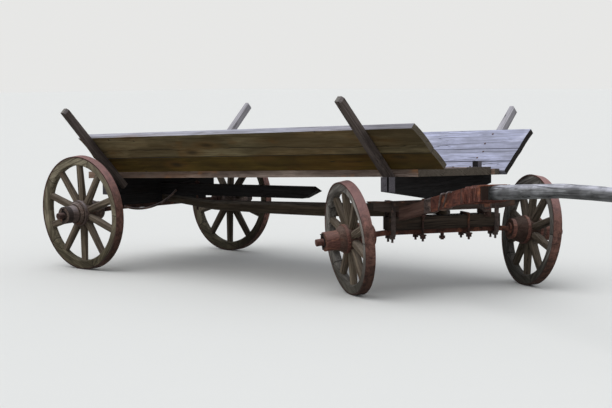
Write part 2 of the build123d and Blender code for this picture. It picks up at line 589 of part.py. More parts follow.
# Front gear, drawn straight ahead about the king bolt
king_hole = rod(0, 0, 0, beyond, KING_RADIUS + RUNNING_CLEARANCE)
half_bed = FRONT_BED_DEPTH / 2
front_gear["front_axle_iron"] = axle_iron(front_axle) - king_hole
front_gear["linchpin_front_right"] = linchpins(front_axle, -1)
front_gear["linchpin_front_left"] = linchpins(front_axle, 1)
front_gear["front_axle_bed"] = block(-half_bed, half_bed, -front_bed_half, front_bed_half, front_bed_z,
                                     front_bed_top) - king_hole
sand_end_z = sand_top - SAND_BOLSTER_END
sand_knee = strap_place + STRAP_WIDTH
sand_bolster = cross_profile(
    [(-SAND_BOLSTER_HALF, sand_end_z), (-sand_knee, sand_z), (sand_knee, sand_z), (SAND_BOLSTER_HALF, sand_end_z),
     (SAND_BOLSTER_HALF, sand_top), (-SAND_BOLSTER_HALF, sand_top)], half_bed)
front_gear["sand_bolster"] = sand_bolster - king_hole
front_gear["wear_plate_lower"] = block(-half_bed, half_bed, -WEAR_PLATE_LENGTH / 2, WEAR_PLATE_LENGTH / 2, sand_top,
                                       lower_plate_top) - king_hole


def hound_bar(side, start, end, width, depth):
    """One straight length of a hound between two middle points, upright in cross-section and cut square in X."""
    (x0, y0, z0), (x1, y1, z1) = start, end
    outline = [(x0, side * (y0 - width / 2)), (x1, side * (y1 - width / 2)), (x1, side * (y1 + width / 2)),
               (x0, side * (y0 + width / 2))]
    plan = extrude(Plane.XY * make_face(Polyline(*outline, close=True)), beyond)
    profile = [(x0, z0 - depth / 2), (x1, z1 - depth / 2), (x1, z1 + depth / 2), (x0, z0 + depth / 2)]
    return plan & extrude(Plane.XZ * make_face(Polyline(*profile, close=True)), beyond, both=True)


def above_bed(place):
    """A hound's middle point with its height measured from the ground."""
    return place[0], place[1], front_bed_top + place[2]


hound_root, hound_bend, hound_nose = above_bed(HOUND_ROOT_RISE), above_bed(HOUND_BEND_RISE), above_bed(HOUND_END_RISE)


def hound(side):
    """A hound: tongue clamped in the gear, a rising length to the bend, and a length along the pole."""
    root = hound_bar(side, hound_root, hound_bend, HOUND_WIDTH, HOUND_DEPTH)
    nose = hound_bar(side, hound_bend, hound_nose, HOUND_WIDTH, HOUND_DEPTH)
    tongue_y = sorted(side * (hound_root[1] + half) for half in (-HOUND_WIDTH / 2, HOUND_WIDTH / 2))
    tongue = block(-HOUND_TONGUE_BACK, hound_root[0], *tongue_y, front_bed_top, sand_z)
    return root + nose + tongue


def along_hound(share):
    """The middle point of a hound's rising length at a share of it."""
    return [a + share * (b - a) for a, b in zip(hound_root, hound_bend)]


def sway_strap(side):
    """A flat iron from the sand bolster's end onto the hound, with the bolt that goes down through the hound."""
    width, thickness = SWAY_STRAP
    x1, y1, z1 = along_hound(SWAY_SHARE)
    x0, y0 = 0.0, SAND_BOLSTER_HALF - SWAY_END_INSET
    slope = (hound_bend[2] - hound_root[2]) / (hound_bend[0] - hound_root[0])
    half = width / 2 * hypot(x1 - x0, y1 - y0) / (x1 - x0)
    fall = (y1 - y0) / (x1 - x0)
    first, last = x0 - SWAY_SEAT / 2, x1 + SWAY_SEAT
    ends = [(x, side * (y0 + fall * (x - x0) + edge)) for x, edge in
            ((first, -half), (last, -half), (last, half), (first, half))]
    plan = extrude(Plane.XY * make_face(Polyline(*ends, close=True)), beyond)
    seat = [(first, sand_top), (half_bed, sand_top)]
    seat += [(x, z1 + HOUND_DEPTH / 2 + slope * (x - x1)) for x in (x1 - SWAY_SEAT, last)]
    profile = seat + [(x, z + thickness) for x, z in reversed(seat)]
    strap = plan & extrude(Plane.XZ * make_face(Polyline(*profile, close=True)), beyond, both=True)
    top, low = z1 + HOUND_DEPTH / 2 + thickness, z1 - HOUND_DEPTH / 2 - SWAY_BOLT_TAIL
    nut_drop = SWAY_NUT[1] + slope * SWAY_NUT[0] / 2
    bolt = rod(x1, side * y1, low, top, SWAY_BOLT_RADIUS)
    return strap + bolt + hex_nut(x1, side * y1, top - 2, *SWAY_NUT) + hex_nut(
        x1, side * y1, z1 - HOUND_DEPTH / 2 - nut_drop, *SWAY_NUT)


front_gear["sway_straps"] = Compound([sway_strap(-1), sway_strap(1)])
front_gear["hound_right"] = hound(-1) - front_gear["sway_straps"]
front_gear["hound_left"] = hound(1) - front_gear["sway_straps"]

nose_length = hound_nose[0] - hound_bend[0]
nose_slope = (hound_nose[2] - hound_bend[2]) / nose_length
pole_rows = [(x, y, front_bed_top + z, r) for x, y, z, r in POLE_SECTIONS]
pole_root = hound_bar(1, (hound_bend[0], 0, hound_bend[2]), (hound_nose[0], 0, hound_nose[2]), 2 * POLE_ROOT_HALF,
                      0.94 * HOUND_DEPTH)
pole = pole_root + log(pole_rows)
pole = pole - rod(DRAW_HOLE_PLACE, 0, 0, beyond, DRAW_HOLE_RADIUS) - rod(POLE_HOLE_PLACE, 0, 0, beyond, POLE_HOLE_RADIUS)
front_gear["pole"] = pole
bands = []
band_outer = hound_bend[1] + HOUND_WIDTH / 2 + BAND_THICKNESS
for share in BAND_PLACES:
    x0 = hound_bend[0] + share * nose_length
    x1 = x0 + BAND_WIDTH
    z0 = hound_bend[2] + (x0 - hound_bend[0]) * nose_slope
    z1 = hound_bend[2] + (x1 - hound_bend[0]) * nose_slope
    outer = hound_bar(1, (x0, 0, z0), (x1, 0, z1), 2 * band_outer, HOUND_DEPTH + 2 * BAND_THICKNESS)
    inner = hound_bar(1, (x0, 0, z0), (x1, 0, z1), 2 * (band_outer - BAND_THICKNESS), HOUND_DEPTH)
    bands.append(outer - inner)
front_gear["hound_bands"] = Compound(bands)

straps = []
for side in (-1, 1):
    y0, y1 = side * strap_place - STRAP_WIDTH / 2, side * strap_place + STRAP_WIDTH / 2
    low, high = front_bar_bottom, sand_top
    t = STRAP_THICKNESS
    loop = block(-half_bed - t, half_bed + t, y0, y1, low - t, high + t) - block(-half_bed, half_bed, y0, y1, low, high)
    for front in (-1, 1):
        x = front * (half_bed - NUT[0] / 2)
        loop = loop + rod(x, side * strap_place, low - t - STRAP_TAIL, low - t, UBOLT_RADIUS)
        loop = loop + hex_nut(x, side * strap_place, low - t - NUT[1], *NUT)
    straps.append(loop)
front_gear["axle_straps"] = Compound(straps)

ubolts = []
for side in (-1, 1):
    y = side * UBOLT_PLACE
    low = front_bar_bottom
    x_leg = half_bed + UBOLT_RADIUS
    crown = Pos(0, y, front_bed_top + UBOLT_RADIUS) * Rot(0, 90, 0) * Cylinder(UBOLT_RADIUS, 2 * x_leg)
    plate = block(-x_leg - NUT[0] / 2, x_leg + NUT[0] / 2, y - UBOLT_PLATE[0] / 2, y + UBOLT_PLATE[0] / 2,
                  low - UBOLT_PLATE[1], low)
    one = crown + plate
    for front in (-1, 1):
        x = front * x_leg
        one = one + rod(x, y, low - UBOLT_PLATE[1] - UBOLT_TAIL, front_bed_top + UBOLT_RADIUS, UBOLT_RADIUS)
        one = one + Pos(x, y, front_bed_top + UBOLT_RADIUS) * Sphere(UBOLT_RADIUS)
        one = one + hex_nut(x, y, low - UBOLT_PLATE[1] - NUT[1], *NUT)
    ubolts.append(one)
front_gear["axle_ubolts"] = Compound(ubolts)
front_gear = {name: gear_place * shape for name, shape in front_gear.items()}

# Wheels
wheels = {**wheel("wheel_rear_right", rear_axle, -1), **wheel("wheel_rear_left", rear_axle, 1)}
steered = {**wheel("wheel_front_right", front_axle, -1), **wheel("wheel_front_left", front_axle, 1)}
wheels.update({name: gear_place * shape for name, shape in steered.items()})

# All pieces, moved so that the origin is the bottom centre of the wagon
pieces = {**rear_gear, **bed, **front_gear, **wheels}
corners = Compound(list(pieces.values())).bounding_box()
origin = Vector((corners.min.X + corners.max.X) / 2, (corners.min.Y + corners.max.Y) / 2, corners.min.Z)

if __name__ == "__main__":
    os.makedirs("parts", exist_ok=True)
    for name, shape in pieces.items():
        export_step(Pos(-origin.X, -origin.Y, -origin.Z) * shape, "parts/" + name + ".step")
    print("origin in drawing axes", origin, "size", corners.size)
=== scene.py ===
"""Looks for the old farm hay wagon: weathered timber, rusted iron, small fittings, a studio and the camera.

Metres. +X points forward along the wagon, +Y to its left and +Z up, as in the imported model. The front gear is
parked turned to the right, so its pieces are built straight ahead of the king bolt and turned with it.
"""
import json
import logging
import math
from collections.abc import Callable
from dataclasses import dataclass, field, replace
from enum import Enum

import bmesh
import bpy
from mathutils import Matrix, Vector


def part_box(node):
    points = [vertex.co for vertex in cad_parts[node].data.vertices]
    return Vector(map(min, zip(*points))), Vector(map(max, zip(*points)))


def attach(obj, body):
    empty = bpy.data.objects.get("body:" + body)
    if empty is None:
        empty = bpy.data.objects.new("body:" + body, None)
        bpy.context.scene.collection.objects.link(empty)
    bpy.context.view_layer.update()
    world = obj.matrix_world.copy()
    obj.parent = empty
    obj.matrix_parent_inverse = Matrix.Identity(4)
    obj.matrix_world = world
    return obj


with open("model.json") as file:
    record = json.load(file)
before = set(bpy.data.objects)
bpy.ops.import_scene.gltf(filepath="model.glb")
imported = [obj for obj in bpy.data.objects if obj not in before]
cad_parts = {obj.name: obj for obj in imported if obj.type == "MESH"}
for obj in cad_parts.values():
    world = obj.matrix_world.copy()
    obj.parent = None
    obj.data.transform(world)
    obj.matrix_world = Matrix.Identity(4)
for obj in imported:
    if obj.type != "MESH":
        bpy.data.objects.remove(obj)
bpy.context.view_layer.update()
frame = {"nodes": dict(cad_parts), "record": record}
LOG = logging.getLogger("hay_wagon")
Colour = tuple[float, float, float]
AHEAD = Vector((1, 0, 0))
LEFT = Vector((0, 1, 0))
UP = Vector((0, 0, 1))


class GrainLayout(Enum):
    """How wood grain or rust streaks run over a piece."""

    STRAIGHT = "along the piece"
    SPOKES = "out along each spoke"
    FELLOES = "straight across each felloe"
    TURNED = "along the axle of a turned piece"
    HOOP = "around a hoop"


@dataclass(frozen=True)
class Placement:
    """A piece's own frame, and how its pattern lies in it. A wheel's axle runs along its Z.

    Args:
        centre: the middle of the pattern, in metres.
        along: the direction of local X, and of straight grain.
        up: roughly the direction of local Z.
        layout: how grain or streaks run.
        count: how many spokes or felloes share a turn.
        seed: which pattern the piece gets.
    """

    centre: Vector
    along: Vector = field(default_factory=AHEAD.copy)
    up: Vector = field(default_factory=UP.copy)
    layout: GrainLayout = GrainLayout.STRAIGHT
    count: int = 1
    seed: float = 0.0

    def matrix(self) -> Matrix:
        """Finds the turn from local axes to the wagon's.

        Returns:
            The turn, with local X, Y and Z as its columns.
        """
        x = self.along.normalized()
        y = self.up.cross(x).normalized()
        z = x.cross(y)
        return Matrix((x, y, z)).transposed()

    def euler(self) -> tuple[float, float, float]:
        """Returns the same turn as XYZ angles."""
        return tuple(self.matrix().to_euler("XYZ"))


def operator(operation: str, reflected: bool = False) -> Callable[["Signal", "Signal | float"], "Signal"]:
    """Returns the method that adds a Math node where Python meets an operator.

    Args:
        operation: the Math node's operation.
        reflected: whether the signal stands on the operator's right.

    Returns:
        The method.
    """
    def method(signal: "Signal", other: "Signal | float") -> "Signal":
        """Returns the operation's value."""
        return signal.graph.math(operation, *((other, signal) if reflected else (signal, other)))
    return method


class Signal:
    """A shader socket that takes part in Python expressions, each operator adding its Math node."""

    __add__, __radd__ = operator("ADD"), operator("ADD", True)
    __sub__, __rsub__ = operator("SUBTRACT"), operator("SUBTRACT", True)
    __mul__, __rmul__ = operator("MULTIPLY"), operator("MULTIPLY", True)
    __truediv__ = operator("DIVIDE")

    def __init__(self, graph: "ShaderGraph", socket: bpy.types.NodeSocket) -> None:
        """Wraps one output socket of a graph."""
        self.graph = graph
        self.socket = socket

    def math(self, operation: str, *others: "Signal | float") -> "Signal":
        """Returns a Math node's value with this signal first and others after it."""
        return self.graph.math(operation, self, *others)

    def __abs__(self) -> "Signal":
        """The size of self without its sign."""
        return self.math("ABSOLUTE")

    def clamped(self) -> "Signal":
        """Returns self held between 0 and 1."""
        return self.math("MAXIMUM", 0.0).math("MINIMUM", 1.0)

    def step(self, low: float, high: float) -> "Signal":
        """Returns a smooth 0 to 1 as self goes from low to high, or 1 to 0 where low is above high.

        Args:
            low: where the step starts.
            high: where it ends.

        Returns:
            The stepped value.
        """
        first, last, start, end = (low, high, 0.0, 1.0) if low < high else (high, low, 1.0, 0.0)
        inputs = {"Value": self, "From Min": first, "From Max": last, "To Min": start, "To Max": end}
        return self.graph.value("ShaderNodeMapRange", {"interpolation_type": "SMOOTHSTEP"}, inputs, "Result")


def scaled(colour: Colour, share: float) -> Colour:
    """Returns a colour times a share."""
    return tuple(share * part for part in colour)


@dataclass(frozen=True)
class Streaks:
    """A noise pattern stretched along the grain.

    Args:
        along: how often it changes along the grain, per metre.
        across: how often it changes across the grain, per metre or per fibre.
        detail: how many finer layers it has.
        roughness: how strong they are.
    """

    along: float
    across: float
    detail: float
    roughness: float


FIBRES = Streaks(3.2, 2.6, 5.0, 0.62)
RIDGES = Streaks(0.9, 0.75, 3.0, 0.5)
SPLITS = Streaks(0.45, 0.9, 1.5, 0.4)
PATCHES = Streaks(1.7, 5.5, 4.0, 0.6)
BLOTCHES = Streaks(4.5, 9.0, 3.0, 0.55)
DRIFTS = Streaks(0.55, 3.0, 2.5, 0.5)
MOTTLES = Streaks(6.5, 19.0, 4.0, 0.65)
BOWS = Streaks(0.9, 0.0, 3.0, 0.55)
# Round noises: how often they change in a metre, their finer layers, how strong those are and their swirl
SCALE = (26.0, 5.0, 0.65, 0.4)
SPECKLE = (130.0, 3.0, 0.6)
CLOUDS = (6.5, 4.0, 0.6)
RIPPLES = (22.0, 3.0)
RAYS = (1.6, 3.0, 0.6)
WANDERING = (2.6, 2.0)
FLOOR_MOTTLE = (0.8, 3.0)
# How many knots there may be in a metre along the grain and across it
KNOT_SPREAD = (2.0, 6.4, 6.4)
# How far patterns shift from one seed to the next, and from one spoke or felloe to the next
SEED_SHIFT = (5.3, 1.9, 3.1)
NEXT_PIECE = (3.7, 1.3)
# The radius whose arc gives an angle its length, on turned pieces and on hoops
TURNED_RADIUS = 0.09
HOOP_RADIUS = 0.4
# How far the grain bends across and upwards, in metres
BEND = (0.05, 0.03)
# Where patterns start and end to show, in their own values
TONE_EDGE = (0.3, 0.68)
PATCH_EDGE = (0.58, 0.4)
DRIFT_EDGE = (0.46, 0.58)
MOTTLE_EDGE = (0.56, 0.38)
KNOT_EDGE = (0.42, 0.12)
SCALE_EDGE = (0.36, 0.62)
# How far a face looks up before it turns pale (on wood partly real sun weathering and partly painted sky light,
# on iron painted sky light), and along an axis before it is sawn or a tyre's side
SKY_ON_WOOD = (0.25, 0.85)
SKY_ON_IRON = (0.1, 0.8)
SAWN_FACES = (0.72, 0.84)
TYRE_SIDES = (0.6, 0.85)
# How dark marks are, as shares of the finish's own dark colour
GAP_SHADE = 0.2
CRACK_SHADE = 0.25
KNOT_SHADE = 0.3
DARKENED_STRETCH_SHADE = 0.5
# Iron's darker sides and ends; on the rear naves' outer ends this is painted shade
IRON_DARKENING = 0.6
# Half the width of dark gaps, in metres: where they fade out and where they are full
SEAM_EDGE = (0.0045, 0.0015)
SPLIT_EDGE = (0.0042, 0.0012)
JOINT_EDGE = (0.0042, 0.0014)
# How far below its axle a wheel's rim starts to darken, where that is full, and its tint: mostly painted shade
# of the wagon and the ground, partly mud
LOW_SHADE_AND_MUD_FROM = (0.02, 0.32)
LOW_SHADE_AND_MUD_TINT = (0.3, 0.29, 0.25)
# How near two corners count as one, in metres
TOUCHING = 1e-5
# Where the growth rings of sawn ends are centred, how close they are, in radians per metre, and their wobble
PITH = (-0.035, 0.06)
RING_DENSITY = 620.0
RING_WOBBLE = 9.0
# How often drying cracks change around the rings and outwards, and how wide they are
RAY_SPREAD = (7.0, 3.0)
RAY_EDGE = (0.03, 0.008)


class ShaderGraph:
    """The node tree of a material or of the world, built through expressions."""

    def __init__(self, holder: bpy.types.Material | bpy.types.World) -> None:
        """Starts an empty tree.

        Args:
            holder: what the tree belongs to.
        """
        self.holder = holder
        holder.use_nodes = True
        self.tree = holder.node_tree
        self.tree.nodes.clear()

    def node(self, kind: str, settings: dict[str, object] | None = None,
             inputs: dict[str | int, object] | None = None) -> bpy.types.Node:
        """Adds any node.

        Args:
            kind: the node's type.
            settings: its properties, set before its inputs.
            inputs: its sockets by name or number, each a value or a Signal.

        Returns:
            The node.
        """
        made = self.tree.nodes.new(kind)
        for key, value in (settings or {}).items():
            setattr(made, key, value)
        for key, value in (inputs or {}).items():
            socket = made.inputs[key]
            if isinstance(value, Signal):
                self.tree.links.new(value.socket, socket)
            else:
                socket.default_value = value
        return made

    def value(self, kind: str, settings: dict[str, object], inputs: dict[str | int, object],
              output: str | int = 0) -> Signal:
        """Adds any node and returns one of its outputs as a Signal."""
        return Signal(self, self.node(kind, settings, inputs).outputs[output])

    def math(self, operation: str, *terms: "Signal | float") -> Signal:
        """Returns a Math node's value over the terms."""
        return self.value("ShaderNodeMath", {"operation": operation}, dict(enumerate(terms)))

    def vector(self, operation: str, first: Signal, second: "Signal | tuple[float, float, float]") -> Signal:
        """Returns a Vector Math node's vector."""
        return self.value("ShaderNodeVectorMath", {"operation": operation}, {0: first, 1: second})

    def mix(self, factor: "Signal | float", first: "Signal | Colour", second: "Signal | Colour",
            blend: str = "MIX") -> Signal:
        """Blends two colours.

        Args:
            factor: how much of the second shows, 0 to 1.
            first: the colour below.
            second: the colour above.
            blend: the Mix node's blend type.

        Returns:
            The blended colour.
        """
        made = self.node("ShaderNodeMix", {"data_type": "RGBA", "blend_type": blend, "clamp_factor": True})
        for number, value in ((0, factor), (6, first), (7, second)):
            if isinstance(value, Signal):
                self.tree.links.new(value.socket, made.inputs[number])
            elif number == 0:
                made.inputs[number].default_value = value
            else:
                made.inputs[number].default_value = (*value, 1.0)
        return Signal(self, made.outputs[2])

    def noise(self, vector: Signal, scale: float, detail: float = 4.0, roughness: float = 0.55,
              distortion: float = 0.0) -> Signal:
        """Returns the value of a noise pattern, about 0.3 to 0.7 in most places."""
        return self.value("ShaderNodeTexNoise", {}, {"Vector": vector, "Scale": scale, "Detail": detail,
                                                     "Roughness": roughness, "Distortion": distortion}, "Fac")

    def streaked(self, grain: Signal, streaks: Streaks, fibres: float = 1.0) -> Signal:
        """Returns noise that is stretched along the grain.

        Args:
            grain: coordinates whose X runs along the grain.
            streaks: its sizes.
            fibres: how many fibres lie in a metre, where its size across the grain goes by them.

        Returns:
            The noise's value.
        """
        across = streaks.across * fibres
        stretched = self.vector("MULTIPLY", grain, (streaks.along, across, across))
        return self.noise(stretched, 1.0, streaks.detail, streaks.roughness)

    def cells(self, vector: Signal) -> Signal:
        """Returns the distance to the nearest of scattered points."""
        return self.value("ShaderNodeTexVoronoi", {}, {"Vector": vector, "Scale": 1.0}, "Distance")

    def local(self, place: Placement) -> Signal:
        """Finds a point's coordinates in a piece's own frame.

        Args:
            place: the piece's own frame.

        Returns:
            The coordinates, in metres.
        """
        coordinates = self.value("ShaderNodeTexCoord", {}, {}, "Object")
        return self.value("ShaderNodeMapping", {"vector_type": "TEXTURE"},
                          {"Vector": coordinates, "Location": tuple(place.centre), "Rotation": place.euler()})

    def facing(self, direction: Vector) -> Signal:
        """Returns how much the surface faces a direction, from -1 to 1."""
        inputs = {0: self.value("ShaderNodeTexCoord", {}, {}, "Normal"), 1: tuple(direction)}
        return self.value("ShaderNodeVectorMath", {"operation": "DOT_PRODUCT"}, inputs, "Value")

    def seen(self) -> Signal:
        """Tells where a surface is seen from where it only lights others.

        Returns:
            1 where the camera, a mirror image or clear glass shows it, and 0 for its light.
        """
        path = self.node("ShaderNodeLightPath")
        camera, glossy, through = (Signal(self, path.outputs["Is " + ray + " Ray"])
                                   for ray in ("Camera", "Glossy", "Transmission"))
        return camera.math("MAXIMUM", glossy).math("MAXIMUM", through)

    def parts(self, vector: Signal) -> tuple[Signal, Signal, Signal]:
        """Returns a vector's X, Y and Z."""
        split = self.node("ShaderNodeSeparateXYZ", {}, {"Vector": vector})
        return tuple(Signal(self, output) for output in split.outputs)

    def joined(self, x: "Signal | float", y: "Signal | float", z: "Signal | float") -> Signal:
        """Returns the vector of three numbers."""
        return self.value("ShaderNodeCombineXYZ", {}, {"X": x, "Y": y, "Z": z})

    def grain(self, place: Placement) -> Signal:
        """Lays coordinates out so that their X runs along the grain of a piece.

        Args:
            place: the piece's own frame.

        Returns:
            The coordinates, in metres.
        """
        point = self.local(place)
        if place.layout is not GrainLayout.STRAIGHT:
            radius, angle, z = self.around(point)
            if place.layout is GrainLayout.TURNED:
                point = self.joined(z, angle * TURNED_RADIUS, radius)
            elif place.layout is GrainLayout.HOOP:
                point = self.joined(angle * HOOP_RADIUS, z, radius)
            else:
                step = 2 * math.pi / place.count
                index = (angle / step).math("FLOOR")
                inside = angle - (index + 0.5) * step
                along, across = radius * inside.math("COSINE"), radius * inside.math("SINE")
                if place.layout is GrainLayout.FELLOES:
                    along, across = across, along
                point = self.joined(along + index * NEXT_PIECE[0], across + index * NEXT_PIECE[1], z)
        return self.vector("ADD", point, scaled(SEED_SHIFT, place.seed))

    def around(self, point: Signal) -> tuple[Signal, Signal, Signal]:
        """Returns a point's radius about local Z, its angle and its height."""
        x, y, z = self.parts(point)
        return ((x * x) + (y * y)).math("SQRT"), y.math("ARCTAN2", x), z

    def joint_gap(self, place: Placement) -> Signal:
        """Measures how far a point is from the nearest joint between felloes.

        Args:
            place: the wheel's own frame.

        Returns:
            The distance, in metres.
        """
        radius, angle, _ = self.around(self.local(place))
        step = 2 * math.pi / place.count
        return (0.5 - abs((angle / step).math("FRACT") - 0.5)) * radius * step

    def low_side_shade_and_mud(self, place: Placement, colour: Signal) -> Signal:
        """Darkens the low side of a wheel's rim: mostly painted shade of the wagon and the ground below, partly
        mud from where it has long stood.

        Args:
            place: the wheel's own frame.
            colour: the colour of the rim without the darker low side.

        Returns:
            The colour with its darker low side.
        """
        drop = self.parts(self.local(place))[1] * -math.copysign(1.0, place.matrix().col[1].z)
        return self.mix(drop.step(*LOW_SHADE_AND_MUD_FROM) * 0.9, colour, LOW_SHADE_AND_MUD_TINT, "MULTIPLY")

    def surface(self, colour: Signal, roughness: "Signal | float", height: Signal, depth: float,
                metallic: float = 0.0, specular: float = 0.3) -> bpy.types.Material:
        """Ends the tree in a Principled shader with a bump.

        Args:
            colour: the surface's colour.
            roughness: how dull it is.
            height: the relief, about 0 to 1.
            depth: how deep the relief is, in metres.
            metallic: how metallic it is.
            specular: the strength of its dull shine.

        Returns:
            The finished material.
        """
        normal = self.value("ShaderNodeBump", {}, {"Height": height, "Strength": 1.0, "Distance": depth},
                            "Normal")
        shader = self.node("ShaderNodeBsdfPrincipled", {}, {
            "Base Color": colour, "Roughness": roughness, "Normal": normal, "Metallic": metallic,
            "Specular IOR Level": specular})
        self.node("ShaderNodeOutputMaterial", {}, {"Surface": Signal(self, shader.outputs["BSDF"])})
        return self.holder


@dataclass(frozen=True)
class WoodPattern:
    """The noises that one piece's wood is painted from.

    Args:
        graph: the material's tree.
        place: the piece's own frame.
        grain: coordinates whose X runs along the grain.
        bent: the same coordinates, wandering a little.
        wander: how far they wander, about -0.2 to 0.2.
        fibres: fine streaks, about 0.3 to 0.7.
        ridges: coarser streaks.
        patches: broad patches.
    """

    graph: ShaderGraph
    place: Placement
    grain: Signal
    bent: Signal
    wander: Signal
    fibres: Signal
    ridges: Signal
    patches: Signal

    def rise(self) -> Signal:
        """Returns how far above the piece's middle a point is, along local Z."""
        return self.graph.parts(self.graph.local(self.place))[2]


@dataclass(frozen=True)
class WeatheredWood:
    """Bare timber that has stood outdoors for decades.

    Args:
        dark: the colour of its grooves and wet streaks.
        middle: its usual colour.
        pale: the colour of its dry ridges.
        bleach_and_sky_light: the colour that its side facing up turns to, partly real sun weathering and partly
            painted sky light.
        stain: the colour of its blotches.
        bleaching_and_sky_light: how far its side facing up turns, 0 to 1, partly sun weathering and partly
            painted sky light.
        staining: how much blotches cover.
        cracking: how many long cracks there are, 0 to 1.
        fibre: the width of its coarser streaks, in metres.
        relief: how deep its weathered grain is, in metres.
        sawn_end: the colour of its end grain.
        low_tint: what multiplies the colour of a lower plank.
        low_below: where the lower plank ends, along local Z.
        knots: how many knots show, 0 to 1.
        drifting: how far broad patches turn to the stain, 0 to 1.
        contrast: how strongly its streaks differ, 0 to 1.
        seams: where dark joints between planks run, along local Z.
        split: where a long split runs along local Z, and how far it wanders.
        mottling: how dark its small cloudy blotches are, 0 to 1.
        darkened_stretch: how dark its darkened stretch is, 0 to 1.
    """

    dark: Colour
    middle: Colour
    pale: Colour
    bleach_and_sky_light: Colour
    stain: Colour
    bleaching_and_sky_light: float = 0.6
    staining: float = 0.4
    cracking: float = 0.6
    fibre: float = 0.022
    relief: float = 0.004
    sawn_end: Colour = (0.12, 0.1, 0.09)
    low_tint: Colour | None = None
    low_below: float = -9.0
    knots: float = 0.0
    drifting: float = 0.0
    contrast: float = 0.58
    seams: tuple[float, ...] = ()
    split: tuple[float, float] | None = None
    mottling: float = 0.0
    darkened_stretch: float = 0.85

    def end_grain(self, graph: ShaderGraph, place: Placement, colour: Signal) -> Signal:
        """Paints growth rings and drying cracks on the faces sawn across the grain.

        Args:
            graph: the material's tree.
            place: the piece's own frame.
            colour: the colour along the grain.

        Returns:
            The colour with its sawn ends.
        """
        _, across, upwards = graph.parts(graph.local(place))
        across, upwards = across - PITH[0], upwards - PITH[1]
        radius = (across * across + upwards * upwards).math("SQRT")
        ripple = graph.noise(graph.joined(across, upwards, 0.0), *RIPPLES)
        rings = ((radius * RING_DENSITY + ripple * RING_WOBBLE).math("SINE") * 0.5) + 0.5
        turn = upwards.math("ARCTAN2", across)
        rays = graph.noise(graph.joined(turn * RAY_SPREAD[0], radius * RAY_SPREAD[1], 0.0), *RAYS)
        check = abs(rays - 0.5).step(*RAY_EDGE) * ripple.step(0.42, 0.56)
        ringed = rings * 0.5 + ripple.step(0.62, 0.35) * 0.4
        sawn = graph.mix(ringed, self.sawn_end, scaled(self.sawn_end, 0.45))
        sawn = graph.mix(check * 0.85, sawn, scaled(self.sawn_end, 0.12))
        return graph.mix(abs(graph.facing(place.along.normalized())).step(*SAWN_FACES), colour, sawn)

    def pattern(self, graph: ShaderGraph, place: Placement) -> WoodPattern:
        """Lays out the noises of one piece.

        Args:
            graph: the material's tree.
            place: the piece's own frame.

        Returns:
            The noises.
        """
        grain = graph.grain(place)
        wander = graph.noise(grain, *WANDERING) - 0.5
        x, y, z = graph.parts(grain)
        bent = graph.joined(x, y + wander * BEND[0], z + wander * BEND[1])
        fibres, ridges = (graph.streaked(bent, streaks, 1.0 / self.fibre) for streaks in (FIBRES, RIDGES))
        return WoodPattern(graph, place, grain, bent, wander, fibres, ridges, graph.streaked(grain, PATCHES))

    def aged(self, wood: WoodPattern, tone: Signal) -> Signal:
        """Paints streaks, blotches, a lower plank's tint and the paler side facing up, partly real sun
        weathering and partly painted sky light.

        Args:
            wood: the piece's noises.
            tone: how pale each streak is, 0 to 1.

        Returns:
            The colour.
        """
        graph = wood.graph
        colour = graph.mix(1.0 - self.contrast, graph.mix(tone, self.dark, self.pale), self.middle)
        if self.drifting:
            drift = graph.streaked(wood.bent, DRIFTS).step(*DRIFT_EDGE)
            colour = graph.mix(drift * self.drifting, colour, self.stain)
        colour = graph.mix(wood.patches.step(*PATCH_EDGE) * 0.5, colour, self.dark)
        blotches = graph.streaked(wood.grain, BLOTCHES)
        blotches = blotches.step(0.7 - 0.25 * self.staining, 0.82 - 0.2 * self.staining)
        colour = graph.mix(blotches * self.staining, colour, self.stain)
        if self.low_tint:
            height = wood.rise() + wood.wander * 0.02
            low = height.step(self.low_below + 0.012, self.low_below - 0.012)
            colour = graph.mix(low, colour, self.low_tint, "MULTIPLY")
        # The side facing up turns pale and bluish: partly real sun weathering, partly painted sky light
        dry = graph.facing(UP).step(*SKY_ON_WOOD) * self.bleaching_and_sky_light * (wood.ridges * 0.9 + 0.45).clamped()
        bleached = graph.mix(wood.fibres.step(0.35, 0.62), scaled(self.bleach_and_sky_light, 0.62), self.bleach_and_sky_light)
        return graph.mix(dry, colour, bleached)

    def marked(self, wood: WoodPattern, colour: Signal) -> Signal:
        """Paints mottling, knots, joints between planks and a long split.

        Args:
            wood: the piece's noises.
            colour: the colour without them.

        Returns:
            The colour with them.
        """
        graph = wood.graph
        if self.mottling:
            mottles = graph.streaked(wood.grain, MOTTLES).step(*MOTTLE_EDGE)
            colour = graph.mix(mottles * self.mottling, colour, self.dark)
        if self.knots:
            spots = graph.cells(graph.vector("MULTIPLY", wood.bent, KNOT_SPREAD))
            colour = graph.mix(spots.step(*KNOT_EDGE) * 0.45, colour, self.stain)
            knot = spots.step(0.12 + 0.1 * self.knots, 0.06)
            colour = graph.mix(knot * 0.8, colour, scaled(self.dark, KNOT_SHADE))
        for seam in self.seams:
            gap = abs(wood.rise() + wood.wander * 0.006 - seam)
            colour = graph.mix(gap.step(*SEAM_EDGE) * 0.85, colour, scaled(self.dark, GAP_SHADE))
        if self.split:
            level, roaming = self.split
            gap = abs(wood.rise() - (graph.streaked(wood.grain, BOWS) - 0.5) * roaming - level)
            opened = gap.step(*SPLIT_EDGE) * wood.patches.step(0.6, 0.5)
            colour = graph.mix(opened, colour, scaled(self.dark, GAP_SHADE))
        return colour

